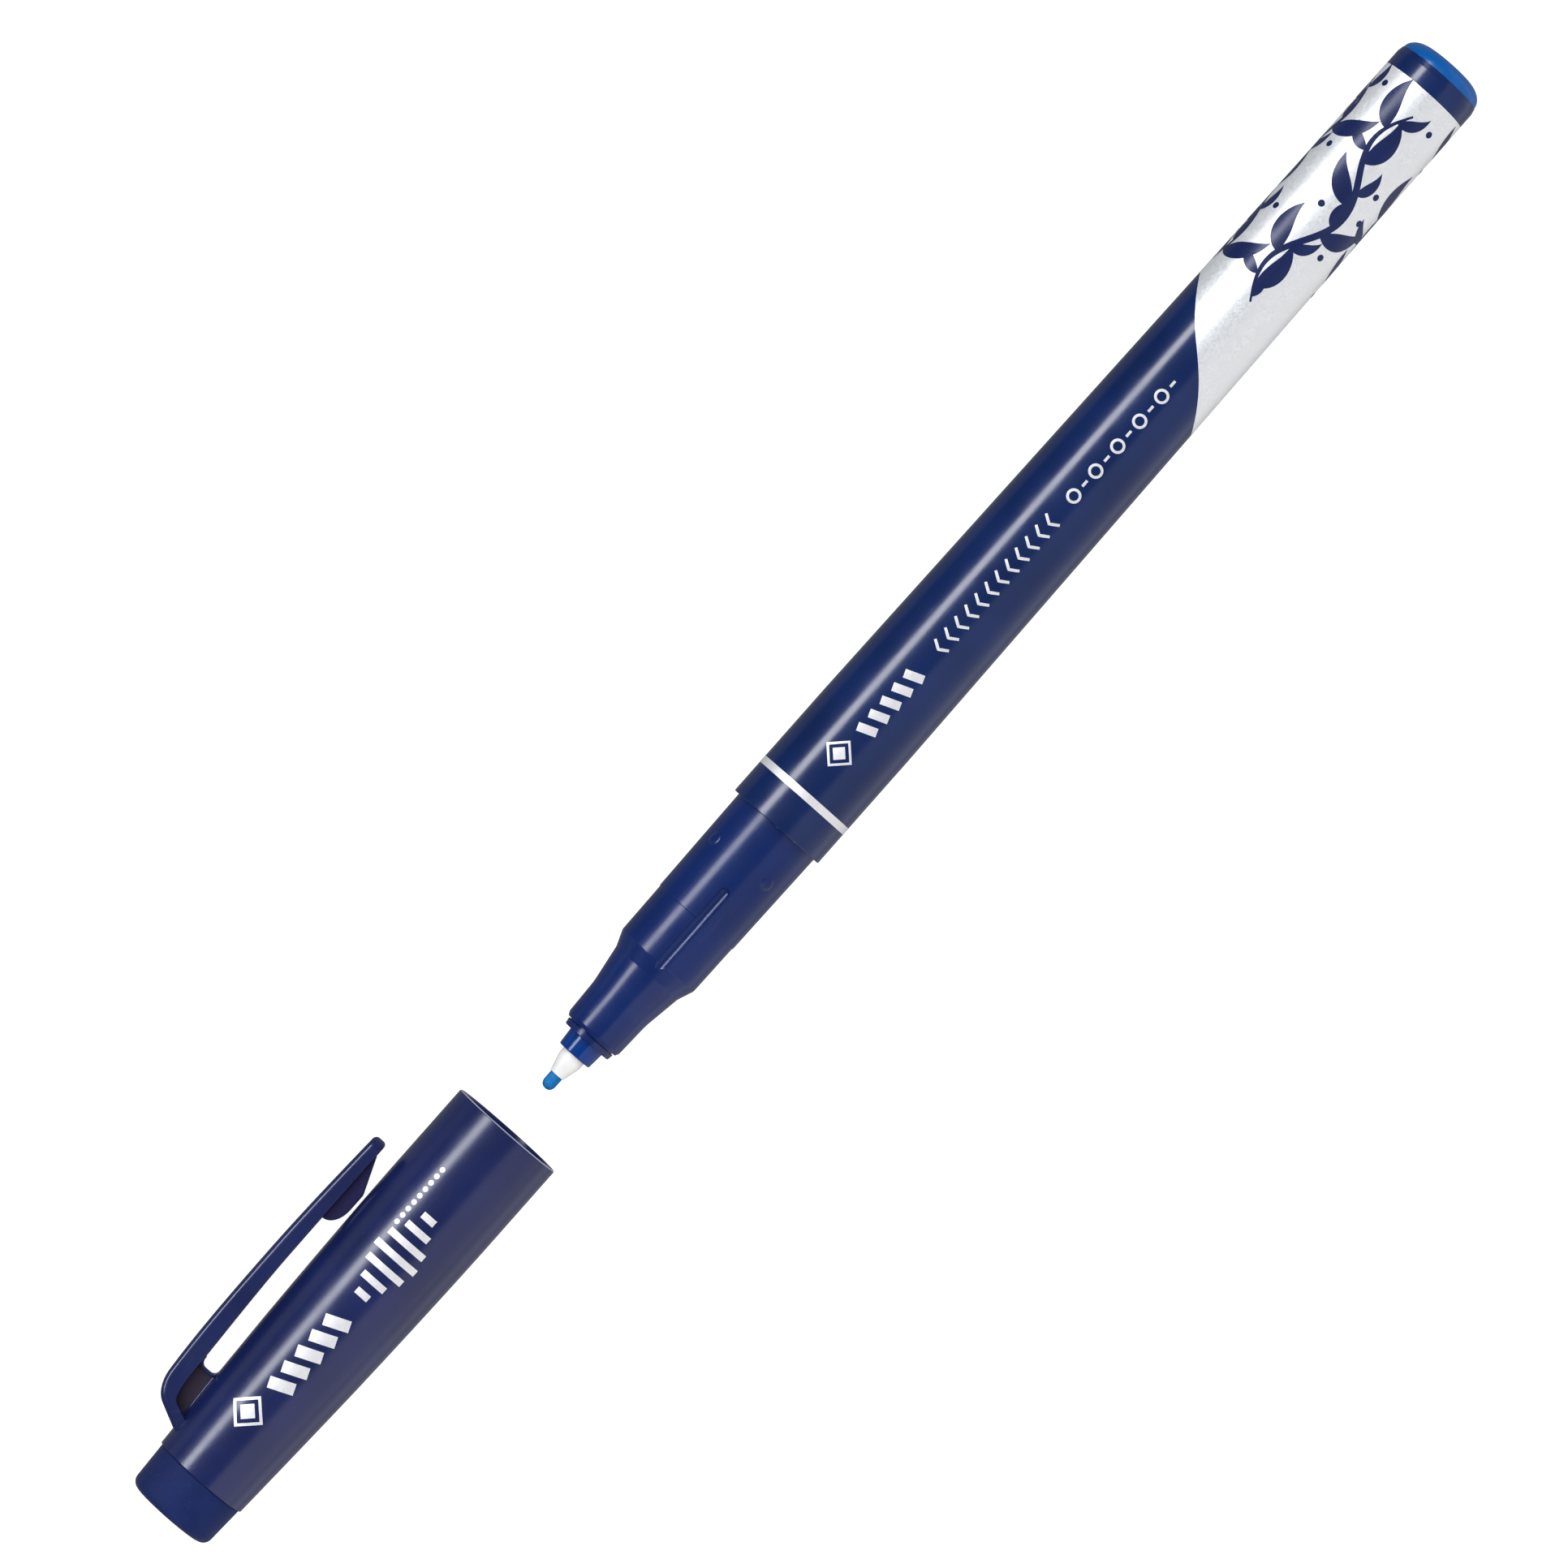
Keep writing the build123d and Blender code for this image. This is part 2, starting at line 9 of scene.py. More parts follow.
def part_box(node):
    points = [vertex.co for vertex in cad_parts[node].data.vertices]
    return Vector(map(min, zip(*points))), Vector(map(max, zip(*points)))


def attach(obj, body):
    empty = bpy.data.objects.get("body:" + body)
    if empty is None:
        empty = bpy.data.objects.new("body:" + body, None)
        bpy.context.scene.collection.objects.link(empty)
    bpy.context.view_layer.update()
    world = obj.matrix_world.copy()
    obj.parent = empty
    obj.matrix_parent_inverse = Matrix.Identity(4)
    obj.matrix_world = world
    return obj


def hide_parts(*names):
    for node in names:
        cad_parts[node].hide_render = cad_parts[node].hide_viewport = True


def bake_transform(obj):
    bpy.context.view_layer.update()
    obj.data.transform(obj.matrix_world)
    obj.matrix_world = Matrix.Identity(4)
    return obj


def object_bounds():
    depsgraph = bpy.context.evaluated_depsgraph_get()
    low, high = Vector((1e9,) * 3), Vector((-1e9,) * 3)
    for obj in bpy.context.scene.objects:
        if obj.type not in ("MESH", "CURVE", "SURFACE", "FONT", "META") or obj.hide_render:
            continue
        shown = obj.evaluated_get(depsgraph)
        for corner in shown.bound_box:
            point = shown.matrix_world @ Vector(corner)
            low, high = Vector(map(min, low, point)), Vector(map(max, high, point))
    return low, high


# Looks for a fibre-tip technical pen with its cap off. Sizes here are in millimetres, and meshes are
# made in metres. A "turn" is an angle in degrees about the pen's axis, from the clip's side towards
# the side that faces the camera. "v" is a distance from the cap's mouth towards its crown.

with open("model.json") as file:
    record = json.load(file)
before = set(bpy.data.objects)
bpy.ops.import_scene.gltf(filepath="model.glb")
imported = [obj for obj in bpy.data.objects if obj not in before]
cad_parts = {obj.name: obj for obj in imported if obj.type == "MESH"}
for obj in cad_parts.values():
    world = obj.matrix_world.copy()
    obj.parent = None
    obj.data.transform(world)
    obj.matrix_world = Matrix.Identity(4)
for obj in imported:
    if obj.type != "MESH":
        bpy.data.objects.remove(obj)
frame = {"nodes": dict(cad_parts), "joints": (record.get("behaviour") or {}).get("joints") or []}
cad_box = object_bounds()
bpy.context.scene.view_settings.view_transform = "Standard"

MM = 0.001
ALONG = Vector((1, 0, 0))
UPPER = Vector(next(j["axis"] for j in frame["joints"] if j["name"] == "clip_flex"))
CLIP = ALONG.cross(UPPER)


def ends(node):
    """Lowest and highest x of a CAD node, in millimetres."""
    low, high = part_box(node)
    return low.x / MM, high.x / MM


TAIL_X, FRONT_X = ends("barrel")
PLUG_X = ends("end_plug")[0]
LIP_X = ends("front_section")[1]
HOLDER_X = ends("nib_holder")[1]
SHROUD_X = ends("nib_shroud")[1]
NIB_X = ends("nib")[1]
MOUTH_X, SEAM_X = ends("cap_shell")
CROWN_X = ends("eraser")[1]
CAP_LENGTH = SEAM_X - MOUTH_X

# ---- Meshes ----


def place(x, r, turn):
    """Point in metres at x along the pen, at a radius and a turn."""
    angle = math.radians(turn)
    return (ALONG * x + (CLIP * math.cos(angle) + UPPER * math.sin(angle)) * r) * MM


def side_place(v, r, across=0.0):
    """Point in metres on the cap: v from its mouth, r towards the clip, across towards the camera."""
    return (ALONG * (MOUTH_X + v) + CLIP * r + UPPER * across) * MM


SUPPORT = 0.12


def rounded(corners, closed=False, steps=5):
    """Outline through (x, y, round) corners, with each round as an arc between two support points, which
    stand off its ends by a share of its tangent length and keep the flats beside it flat."""
    outline = []
    count = len(corners)
    for i, (x, y, radius) in enumerate(corners):
        here = Vector((x, y))
        if not radius or (not closed and i in (0, count - 1)):
            outline.append(here)
            continue
        back = (Vector(corners[i - 1][:2]) - here).normalized()
        on = (Vector(corners[(i + 1) % count][:2]) - here).normalized()
        half = back.angle(on) / 2
        tangent_length = radius / math.tan(half)
        centre = here + (back + on).normalized() * radius / math.sin(half)
        first, last = here + back * tangent_length, here + on * tangent_length
        outline.append(first + back * tangent_length * SUPPORT)
        first_way, last_way = (first - centre) / radius, (last - centre) / radius
        for k in range(steps + 1):
            outline.append(centre + first_way.slerp(last_way, k / steps) * radius)
        outline.append(last + on * tangent_length * SUPPORT)
    return outline


def refine(outline, start, end, step):
    """The outline with extra points, a step apart, wherever it runs between two places."""
    cuts = [start + step * k for k in range(int((end - start) / step) + 1)]
    finer = [outline[0]]
    for before, after in zip(outline, outline[1:]):
        run = after.x - before.x
        low, high = sorted((before.x, after.x))
        shares = sorted((cut - before.x) / run for cut in cuts if low < cut < high)
        finer += [before.lerp(after, share) for share in shares]
        finer.append(after)
    return finer


def even_turns(count):
    """Turns evenly round the pen's axis, from the clip's side."""
    return [360 * k / count for k in range(count)]


def finer(turns, centres, half, step):
    """The turns, with those within half of each centre replaced by ones a step apart."""
    turns = {round(t, 3) for t in turns}
    steps = int(half / step)
    for centre in centres:
        turns = {t for t in turns if abs((t - centre + 180) % 360 - 180) > half}
        turns |= {round((centre + k * step) % 360, 3) for k in range(-steps, steps + 1)}
    return sorted(turns)


def new_piece(name, points, faces, material, body, replaces=(), crease=32):
    """A smooth-shaded piece from points in metres, riding on a CAD body if one is named."""
    mesh = bpy.data.meshes.new(name)
    mesh.from_pydata(points, [], faces)
    shape = bmesh.new()
    shape.from_mesh(mesh)
    bmesh.ops.recalc_face_normals(shape, faces=shape.faces)
    shape.to_mesh(mesh)
    shape.free()
    mesh.shade_smooth()
    mesh.set_sharp_from_angle(angle=math.radians(crease))
    mesh.materials.append(material)
    piece = bpy.data.objects.new(name, mesh)
    bpy.context.scene.collection.objects.link(piece)
    if body:
        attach(piece, body)
    if replaces:
        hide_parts(*replaces)
    return piece


def lathe(name, outline, material, body, replaces=(), turns=None, relief=None):
    """A solid turned about the pen's axis from (x, r) points; an outline off the axis closes on itself.
    relief(x, r, turn) gives the radius there instead of r."""
    turns = turns or even_turns(192)
    points, faces, rings = [], [], []
    for x, r in outline:
        if r < 1e-6:
            rings.append([len(points)])
            points.append(place(x, 0, 0))
        else:
            rings.append(range(len(points), len(points) + len(turns)))
            points += [place(x, relief(x, r, t) if relief else r, t) for t in turns]
    pairs = list(zip(rings, rings[1:]))
    if len(rings[0]) > 1:
        pairs.append((rings[-1], rings[0]))
    for a, b in pairs:
        for k in range(len(turns)):
            n = (k + 1) % len(turns)
            corners = [a[k % len(a)], a[n % len(a)], b[n % len(b)], b[k % len(b)]]
            faces.append(list(dict.fromkeys(corners)))
    return new_piece(name, points, faces, material, body, replaces)


# ---- Outer surfaces ----

FIT = 0.02
GRIP_R = 5.2
GRIP_LENGTH = 13.0
TAPER_LENGTH = 67.0
TAIL_R = 4.6
TAIL_EDGE_R = 4.47
BORE_R = 3.6
SPIGOT_LENGTH = 9.0
SPIGOT_R = 3.97

CAP_R = 5.85
CAP_STRAIGHT = 9.0
CAP_WAIST = 28.0
CAP_WAIST_R = 5.53
CAP_CROWN_R = 4.94
CAP_WAIST_CURVE = 1.6
CAP_BOW = 0.06


def barrel_r(x):
    """The barrel's radius: parallel at the grip, then tapering to the tail."""
    taper = min(max((-GRIP_LENGTH - x) / TAPER_LENGTH, 0), 1)
    return GRIP_R + (TAIL_R - GRIP_R) * taper


def cap_r(x):
    """The cap's radius: parallel at the mouth, closing faster and faster to the waist, then a slightly
    bowed taper to the crown."""
    v = x - MOUTH_X
    if v < CAP_STRAIGHT:
        return CAP_R
    waist_share = (v - CAP_STRAIGHT) / (CAP_WAIST - CAP_STRAIGHT)
    if waist_share < 1:
        return CAP_R - (CAP_R - CAP_WAIST_R) * waist_share**CAP_WAIST_CURVE
    crown_share = (v - CAP_WAIST) / (CAP_LENGTH - CAP_WAIST)
    bow = CAP_BOW * crown_share * (1 - crown_share)
    return CAP_WAIST_R - (CAP_WAIST_R - CAP_CROWN_R) * crown_share + bow


# ---- Materials ----


class Paint:
    """A new Principled material, with short ways to add the nodes that drive it."""

    def __init__(self, name, **values):
        self.material = bpy.data.materials.new(name)
        self.material.use_nodes = True
        self.tree = self.material.node_tree
        self.shader = self.tree.nodes["Principled BSDF"]
        for key, value in values.items():
            self.shader.inputs[key.replace("_", " ")].default_value = value
        self.heights = []
        coordinates = self.tree.nodes.new("ShaderNodeTexCoord")
        in_mm = self.node("ShaderNodeVectorMath", operation="SCALE", Vector=coordinates.outputs["Object"])
        in_mm.inputs["Scale"].default_value = 1 / MM
        self.where = in_mm.outputs[0]

    def node(self, kind, **values):
        """A node; values are its settings, its inputs' values or the sockets that feed them."""
        node = self.tree.nodes.new(kind)
        for key, value in values.items():
            if hasattr(node, key):
                setattr(node, key, value)
            elif isinstance(value, bpy.types.NodeSocket):
                self.tree.links.new(value, node.inputs[key.replace("_", " ")])
            else:
                node.inputs[key.replace("_", " ")].default_value = value
        return node

    def link(self, socket, name):
        """Feeds a socket into the shader's input of a name."""
        self.tree.links.new(socket, self.shader.inputs[name])

    def noise(self, size, detail=3.0, stretch=(1, 1, 1)):
        """Noise with features of a size in millimetres, longer along an axis where stretch is."""
        scaled = self.node("ShaderNodeVectorMath", operation="DIVIDE")
        self.tree.links.new(self.where, scaled.inputs[0])
        scaled.inputs[1].default_value = [size * s for s in stretch]
        noise = self.node("ShaderNodeTexNoise", Vector=scaled.outputs[0], Scale=1.0, Detail=detail)
        return noise.outputs["Fac"]

    def ramp(self, socket, low, high, start, end):
        """The socket's span from start to end, mapped onto low to high and held outside it."""
        ramp = self.node(
            "ShaderNodeMapRange", Value=socket, From_Min=start, From_Max=end, To_Min=low, To_Max=high
        )
        return ramp.outputs["Result"]

    def sum(self, *sockets):
        """The sum of some sockets."""
        total = sockets[0]
        for socket in sockets[1:]:
            adder = self.node("ShaderNodeMath", operation="ADD")
            self.tree.links.new(total, adder.inputs[0])
            self.tree.links.new(socket, adder.inputs[1])
            total = adder.outputs[0]
        return total

    def blend(self, share, first, second):
        """Colour from first to second by share; each is a colour or a socket."""
        mix = self.tree.nodes.new("ShaderNodeMix")
        mix.data_type = "RGBA"
        self.tree.links.new(share, mix.inputs["Factor"])
        for name, value in (("A", first), ("B", second)):
            socket = next(s for s in mix.inputs if s.name == name and s.type == "RGBA")
            if isinstance(value, bpy.types.NodeSocket):
                self.tree.links.new(value, socket)
            else:
                socket.default_value = (*value, 1)
        return next(s for s in mix.outputs if s.type == "RGBA")

    def bump(self, height, depth):
        """Adds relief to the surface; depth is in millimetres for a height of one."""
        bump = self.node("ShaderNodeBump", Height=height, Strength=1.0, Distance=depth * MM)
        if self.heights:
            self.tree.links.new(self.heights[-1], bump.inputs["Normal"])
        self.heights.append(bump.outputs["Normal"])
        self.link(bump.outputs["Normal"], "Normal")


def shade(colour, factor):
    """The colour made lighter or darker, held at full brightness."""
    return tuple(min(1.0, c * factor) for c in colour)


def plastic(name, colour, roughness, wear=0.35, level=0.5):
    """Glossy moulding: slow colour drift, fine moulding grain, hairline scratches and worn edges."""
    paint = Paint(name, IOR=1.5, Specular_IOR_Level=level)
    drift = paint.ramp(paint.noise(7, 2), 0, 1, 0.35, 0.65)
    body = paint.blend(drift, shade(colour, 0.9), shade(colour, 1.1))
    hairlines = paint.ramp(paint.noise(0.09, 2, stretch=(60, 1, 1)), 0, 1, 0.66, 0.74)
    edge = paint.node("ShaderNodeNewGeometry").outputs["Pointiness"]
    worn = paint.ramp(edge, 0, wear, 0.53, 0.6)
    paint.link(paint.blend(worn, body, tuple(0.5 * c + 0.12 for c in colour)), "Base Color")
    cloud = paint.ramp(paint.noise(2.5, 3), roughness - 0.02, roughness + 0.03, 0.3, 0.7)
    rubbed = paint.ramp(hairlines, 0, 0.06, 0, 1)
    paint.link(paint.sum(cloud, rubbed, paint.ramp(worn, 0, 0.15, 0, 1)), "Roughness")
    paint.bump(paint.noise(1.3, 1), 0.0022)
    paint.bump(paint.noise(0.12, 3), 0.0008)
    paint.bump(hairlines, -0.0006)
    return paint.material


def silver_print(name, colour, grain, metallic, roughness):
    """Metallic ink or foil: flakes that differ in brightness and tilt."""
    paint = Paint(name, Metallic=metallic)
    cells = paint.node("ShaderNodeTexVoronoi", Vector=paint.where, Scale=1 / grain)
    flake = paint.node("ShaderNodeSeparateColor", Color=cells.outputs["Color"]).outputs[0]
    cloud = paint.ramp(paint.noise(1.6, 4), 0, 1, 0.35, 0.65)
    tone = paint.blend(flake, shade(colour, 0.93), shade(colour, 1.05))
    paint.link(paint.blend(cloud, tone, shade(colour, 0.98)), "Base Color")
    paint.link(paint.ramp(flake, roughness - 0.06, roughness + 0.06, 0, 1), "Roughness")
    paint.bump(flake, 0.004)
    paint.bump(paint.noise(0.25, 3), 0.004)
    return paint.material


def rubber(name, colour):
    """Matte rubber: dusty bloom, a pebbled skin and small scuffs."""
    paint = Paint(name, IOR=1.45, Specular_IOR_Level=0.1, Sheen_Weight=0.1, Sheen_Roughness=0.4)
    bloom = paint.ramp(paint.noise(2.2, 5), 0, 1, 0.4, 0.7)
    body = paint.blend(bloom, shade(colour, 0.92), tuple(c * 1.08 + 0.002 for c in colour))
    scuffs = paint.ramp(paint.noise(0.5, 3, stretch=(1, 4, 1)), 0, 1, 0.62, 0.72)
    paint.link(paint.blend(scuffs, body, tuple(c * 1.1 + 0.004 for c in colour)), "Base Color")
    paint.link(paint.ramp(bloom, 0.62, 0.78, 0, 1), "Roughness")
    paint.bump(paint.noise(0.22, 3), 0.02)
    paint.bump(scuffs, -0.008)
    return paint.material


def fibre(name, colour):
    """Bonded fibres along the pen, soaked with ink unevenly."""
    paint = Paint(name, IOR=1.4, Specular_IOR_Level=0.25)
    strands = paint.noise(0.07, 3, stretch=(14, 1, 1))
    soak = paint.ramp(paint.noise(0.5, 3), 0, 1, 0.3, 0.7)
    lit = paint.blend(paint.ramp(strands, 0, 1, 0.4, 0.6), shade(colour, 0.5), shade(colour, 1.55))
    paint.link(paint.blend(soak, lit, shade(colour, 0.85)), "Base Color")
    paint.link(paint.ramp(strands, 0.45, 0.75, 0.3, 0.7), "Roughness")
    paint.bump(strands, 0.02)
    return paint.material


def satin(name, colour, roughness, level=0.5):
    """Unpainted moulding with a soft sheen: end plug, nib holder, shroud and inner cap."""
    paint = Paint(name, IOR=1.48, Specular_IOR_Level=level)
    cloud = paint.ramp(paint.noise(1.8, 4), 0, 1, 0.35, 0.65)
    paint.link(paint.blend(cloud, shade(colour, 0.95), shade(colour, 1.04)), "Base Color")
    paint.link(paint.ramp(paint.noise(0.6, 3), roughness - 0.05, roughness + 0.06, 0.3, 0.7), "Roughness")
    paint.bump(paint.noise(0.15, 3), 0.0025)
    paint.bump(paint.noise(0.9, 2), 0.003)
    return paint.material


def clear_film(name):
    """Thin wrapping film with slight creases."""
    paint = Paint(name, Base_Color=(0.8, 0.85, 0.92, 1), Transmission_Weight=0.9, IOR=1.45)
    creases = paint.noise(0.5, 4, stretch=(6, 1, 1))
    paint.link(paint.ramp(creases, 0.08, 0.3, 0.3, 0.7), "Roughness")
    paint.bump(creases, 0.02)
    return paint.material


navy_barrel = plastic("navy_barrel", (0.0045, 0.0168, 0.084), 0.2)
navy_section = plastic("navy_section", (0.0036, 0.0158, 0.096), 0.22, wear=0.05, level=0.34)
navy_cap = plastic("navy_cap", (0.0072, 0.0144, 0.078), 0.235, wear=0.06)
# Pale blue-grey that paints a highlight on the cap's mouth rim
rim_painted_highlight = plastic("rim_painted_highlight", (0.36, 0.39, 0.52), 0.3, wear=0)
# Darker, purple navy that paints the shade under the clip's beam onto its pad
pad_painted_shade = plastic("pad_painted_shade", (0.013, 0.011, 0.064), 0.3, wear=0.05, level=0.3)
# Brownish navy that paints shade and a reflection into the clip's arch
web_painted_shade_and_reflection = plastic("web_painted_shade_and_reflection", (0.03, 0.021, 0.044), 0.35, wear=0.05, level=0.3)
navy_ink = plastic("navy_ink", (0.008, 0.016, 0.075), 0.27, wear=0, level=0.3)
plug_blue = satin("plug_blue", (0.0, 0.085, 0.33), 0.25, level=0.36)
holder_blue = satin("holder_blue", (0.001, 0.03, 0.185), 0.15, level=0.36)
shroud_white = satin("shroud_white", (0.76, 0.76, 0.755), 0.45)
liner_grey = satin("liner_grey", (0.66, 0.68, 0.71), 0.45)
nib_fibre = fibre("nib_fibre", (0.001, 0.145, 0.42))
ink_fibre = fibre("ink_fibre", (0.02, 0.08, 0.36))
eraser_navy = rubber("eraser_navy", (0.006, 0.0158, 0.088))
foil = silver_print("silver_foil", (0.85, 0.88, 0.925), 0.16, 0.6, 0.47)
silver_ink = silver_print("silver_ink", (0.76, 0.775, 0.81), 0.1, 0.45, 0.47)

film = clear_film("clear_film")
for node, material in (("ink_reservoir", ink_fibre), ("reservoir_film", film), ("cap_liner", liner_grey)):
    frame["nodes"][node].data.materials.clear()
    frame["nodes"][node].data.materials.append(material)

# ---- Pen body ----

EDGE = 0.1
TAIL_EDGE_LENGTH = 0.6


def make_barrel():
    """The tube: its outside, and a bore with a wider seat for the section's spigot."""
    outline = rounded(
        [
            (FRONT_X, SPIGOT_R, 0),
            (FRONT_X, GRIP_R, EDGE),
            (-GRIP_LENGTH, GRIP_R, 20),
            (-GRIP_LENGTH - TAPER_LENGTH, TAIL_R, 40),
            (TAIL_X + TAIL_EDGE_LENGTH, TAIL_R, 0.3),
            (TAIL_X, TAIL_EDGE_R, 0.05),
            (TAIL_X, BORE_R, 0),
            (-SPIGOT_LENGTH, BORE_R, 0),
            (-SPIGOT_LENGTH, SPIGOT_R, 0),
        ]
    )
    lathe("barrel_shell", outline, navy_barrel, "pen", ["barrel"], even_turns(256))


PLUG_R = 4.42
PLUG_ROUND = 2.2
PLUG_SPIGOT_LENGTH = 5.2
PROP_R, PROP_BORE_R = 2.8, 2.2
DOME_STEPS = 12


def make_plug():
    """The domed plug in the barrel's tail, with a spigot and a prop for the ink store."""
    head = TAIL_X - PLUG_X
    outline = [Vector((PLUG_X, 0))]
    for k in range(DOME_STEPS, -1, -1):
        angle = math.radians(90 * k / DOME_STEPS)
        x = PLUG_X + head * (1 - math.sin(angle))
        outline.append(Vector((x, PLUG_R - PLUG_ROUND * (1 - math.cos(angle)))))
    prop_end = ends("end_plug")[1]
    spigot_end = TAIL_X + PLUG_SPIGOT_LENGTH
    inside = (
        (TAIL_X, BORE_R - FIT),
        (spigot_end, BORE_R - FIT),
        (spigot_end, PROP_R),
        (prop_end, PROP_R),
        (prop_end, PROP_BORE_R),
        (TAIL_X, PROP_BORE_R),
        (TAIL_X, 0),
    )
    outline += [Vector(p) for p in inside]
    lathe("plug_head", outline, plug_blue, "pen", ["end_plug"], even_turns(160))


make_barrel()
make_plug()

# ---- Front section ----

SECTION_R = 4.69
SECTION_WAIST_R = 4.57
SECTION_STEP_X = 11.3
SECTION_FRONT_R = 4.5
SHOULDER_X, SHOULDER_R = 16.7, 4.45
NOSE_X, NOSE_R = 18.3, 3.82
NOSE_WAIST_X, NOSE_WAIST_R = 22.1, 3.23
NOSE_END_X, NOSE_END_R = 26.1, 3.1
LIP_R = 2.73
CHAMBER_R = 3.4
RESERVOIR_SEAT_X = 11.5
HOLDER_R = 1.97

DOME_X, DOME_TURN, DOME_R, DOME_HEIGHT = 4.6, 39.0, 0.7, 0.1
GROOVE_TURN, GROOVE_BACK_X, GROOVE_FRONT_X = 96.0, 7.4, 18.2
GROOVE_HALF, GROOVE_FLOOR_R, GROOVE_RISE = 0.5, 4.17, 0.24
# Where the domes and the grooves' ends need closer rings: from x, to x, ring spacing
RELIEF_SPANS = ((3.7, 5.5, 0.06), (7.2, 8.5, 0.06), (16.5, 18.6, 0.07))


def section_relief(x, r, turn):
    """Snap domes proud of the section, and a round-bottomed groove along each side that runs out at the
    shoulder."""
    if r < CHAMBER_R + 0.1:
        return r
    from_dome = (turn - DOME_TURN + 45) % 90 - 45
    dome_distance = math.hypot(x - DOME_X, math.radians(from_dome) * r)
    if dome_distance < DOME_R:
        return r + DOME_HEIGHT * (1 - (dome_distance / DOME_R) ** 4)
    from_groove = (turn - GROOVE_TURN + 90) % 180 - 90
    nearest = min(max(x, GROOVE_BACK_X + GROOVE_HALF), GROOVE_FRONT_X)
    groove_distance = math.hypot(x - nearest, math.radians(from_groove) * r)
    if groove_distance < GROOVE_HALF:
        return min(r, GROOVE_FLOOR_R + GROOVE_RISE * (groove_distance / GROOVE_HALF) ** 2)
    return r


def make_section():
    """The front section: spigot, snap collar, nose and lip, around the chamber and the nib holder's bore."""
    outline = rounded(
        [
            (-SPIGOT_LENGTH, CHAMBER_R, 0),
            (-SPIGOT_LENGTH, SPIGOT_R - FIT, 0),
            (FRONT_X, SPIGOT_R - FIT, 0),
            (FRONT_X, SECTION_R, 0),
            (SECTION_STEP_X, SECTION_WAIST_R, 0.03),
            (SECTION_STEP_X + 0.05, SECTION_FRONT_R, 0.03),
            (SHOULDER_X, SHOULDER_R, 0.35),
            (NOSE_X, NOSE_R, 0.8),
            (NOSE_WAIST_X, NOSE_WAIST_R, 9.0),
            (NOSE_END_X - 0.4, NOSE_END_R, 0.1),
            (NOSE_END_X, NOSE_END_R - 0.2, 0.08),
            (NOSE_END_X, LIP_R - 0.2, 0),
            (NOSE_END_X + 0.1, LIP_R - 0.2, 0),
            (NOSE_END_X + 0.1, LIP_R, 0.06),
            (LIP_X, LIP_R - 0.1, 0.12),
            (LIP_X, HOLDER_R + FIT, 0),
            (RESERVOIR_SEAT_X, HOLDER_R + FIT, 0),
            (RESERVOIR_SEAT_X, CHAMBER_R, 0),
        ]
    )
    for start, end, step in RELIEF_SPANS:
        outline = refine(outline, start, end, step)
    domes = [DOME_TURN + 90 * k for k in range(4)]
    grooves = [GROOVE_TURN, GROOVE_TURN + 180]
    turns = finer(even_turns(120), domes, half=10, step=0.7)
    turns = finer(turns, grooves, half=7.7, step=0.35)
    lathe(
        "section_body", outline, navy_section, "pen", ["front_section"], turns, section_relief
    )


HOLDER_LENGTH = 12.5
HOLDER_FRONT_R = 1.8
SHROUD_R = 1.25
SHROUD_COLLAR = 0.7
SHROUD_TIP_R = 0.78
SHROUD_SEAT_R, SHROUD_SEAT_DEPTH = 1.0, 3.0
NIB_R = 0.66
NIB_TIP_R = 0.68
NIB_BULLET = 0.75
BULLET_STEPS = 14
BULLET_CURVE = 0.8


def make_nib():
    """The holder's sleeve, the shroud's cone and the fibre rod with its bullet tip."""
    holder = rounded(
        [
            (HOLDER_X - HOLDER_LENGTH, NIB_R + FIT, 0),
            (HOLDER_X - HOLDER_LENGTH, HOLDER_R, 0),
            (LIP_X, HOLDER_R - 0.03, 0.05),
            (HOLDER_X, HOLDER_FRONT_R, 0.14),
            (HOLDER_X, SHROUD_SEAT_R, 0),
            (HOLDER_X - SHROUD_SEAT_DEPTH, SHROUD_SEAT_R, 0),
            (HOLDER_X - SHROUD_SEAT_DEPTH, NIB_R + FIT, 0),
        ]
    )
    lathe("holder_sleeve", holder, holder_blue, "pen", ["nib_holder"], even_turns(128))
    shroud = rounded(
        [
            (HOLDER_X - SHROUD_SEAT_DEPTH, NIB_R + FIT, 0),
            (HOLDER_X - SHROUD_SEAT_DEPTH, SHROUD_SEAT_R - FIT, 0),
            (HOLDER_X, SHROUD_SEAT_R - FIT, 0),
            (HOLDER_X, SHROUD_R, 0.04),
            (HOLDER_X + SHROUD_COLLAR, SHROUD_R, 0.8),
            (SHROUD_X, SHROUD_TIP_R, 0.05),
            (SHROUD_X, NIB_R + FIT, 0),
        ]
    )
    lathe("shroud_cone", shroud, shroud_white, "pen", ["nib_shroud"], even_turns(96))
    rear = ends("nib")[0]
    bullet = []
    for k in range(BULLET_STEPS):
        angle = math.radians(90 * k / BULLET_STEPS)
        x = NIB_X - NIB_BULLET * (1 - math.sin(angle))
        bullet.append(Vector((x, NIB_TIP_R * math.cos(angle) ** BULLET_CURVE)))
    outline = [Vector((rear, 0)), Vector((rear, NIB_R)), Vector((SHROUD_X, NIB_R))]
    outline += [Vector((SHROUD_X + 0.02, NIB_TIP_R))] + bullet + [Vector((NIB_X, 0))]
    lathe("nib_point", outline, nib_fibre, "pen", ["nib"], even_turns(72))


make_section()
make_nib()

# ---- Cap ----

BORE_MOUTH_R = 4.9
SNAP_RING_V = 3.65
SNAP_RING_R = 4.8
RETAINER_V = 18.8
RETAINER_R = 4.6
LINER_BORE_R = 4.78
CEILING_V = 38.2
SOCKET_V = 39.2
SOCKET_R = 2.62
END_LENGTH = 1.0
CAP_RINGS = 60


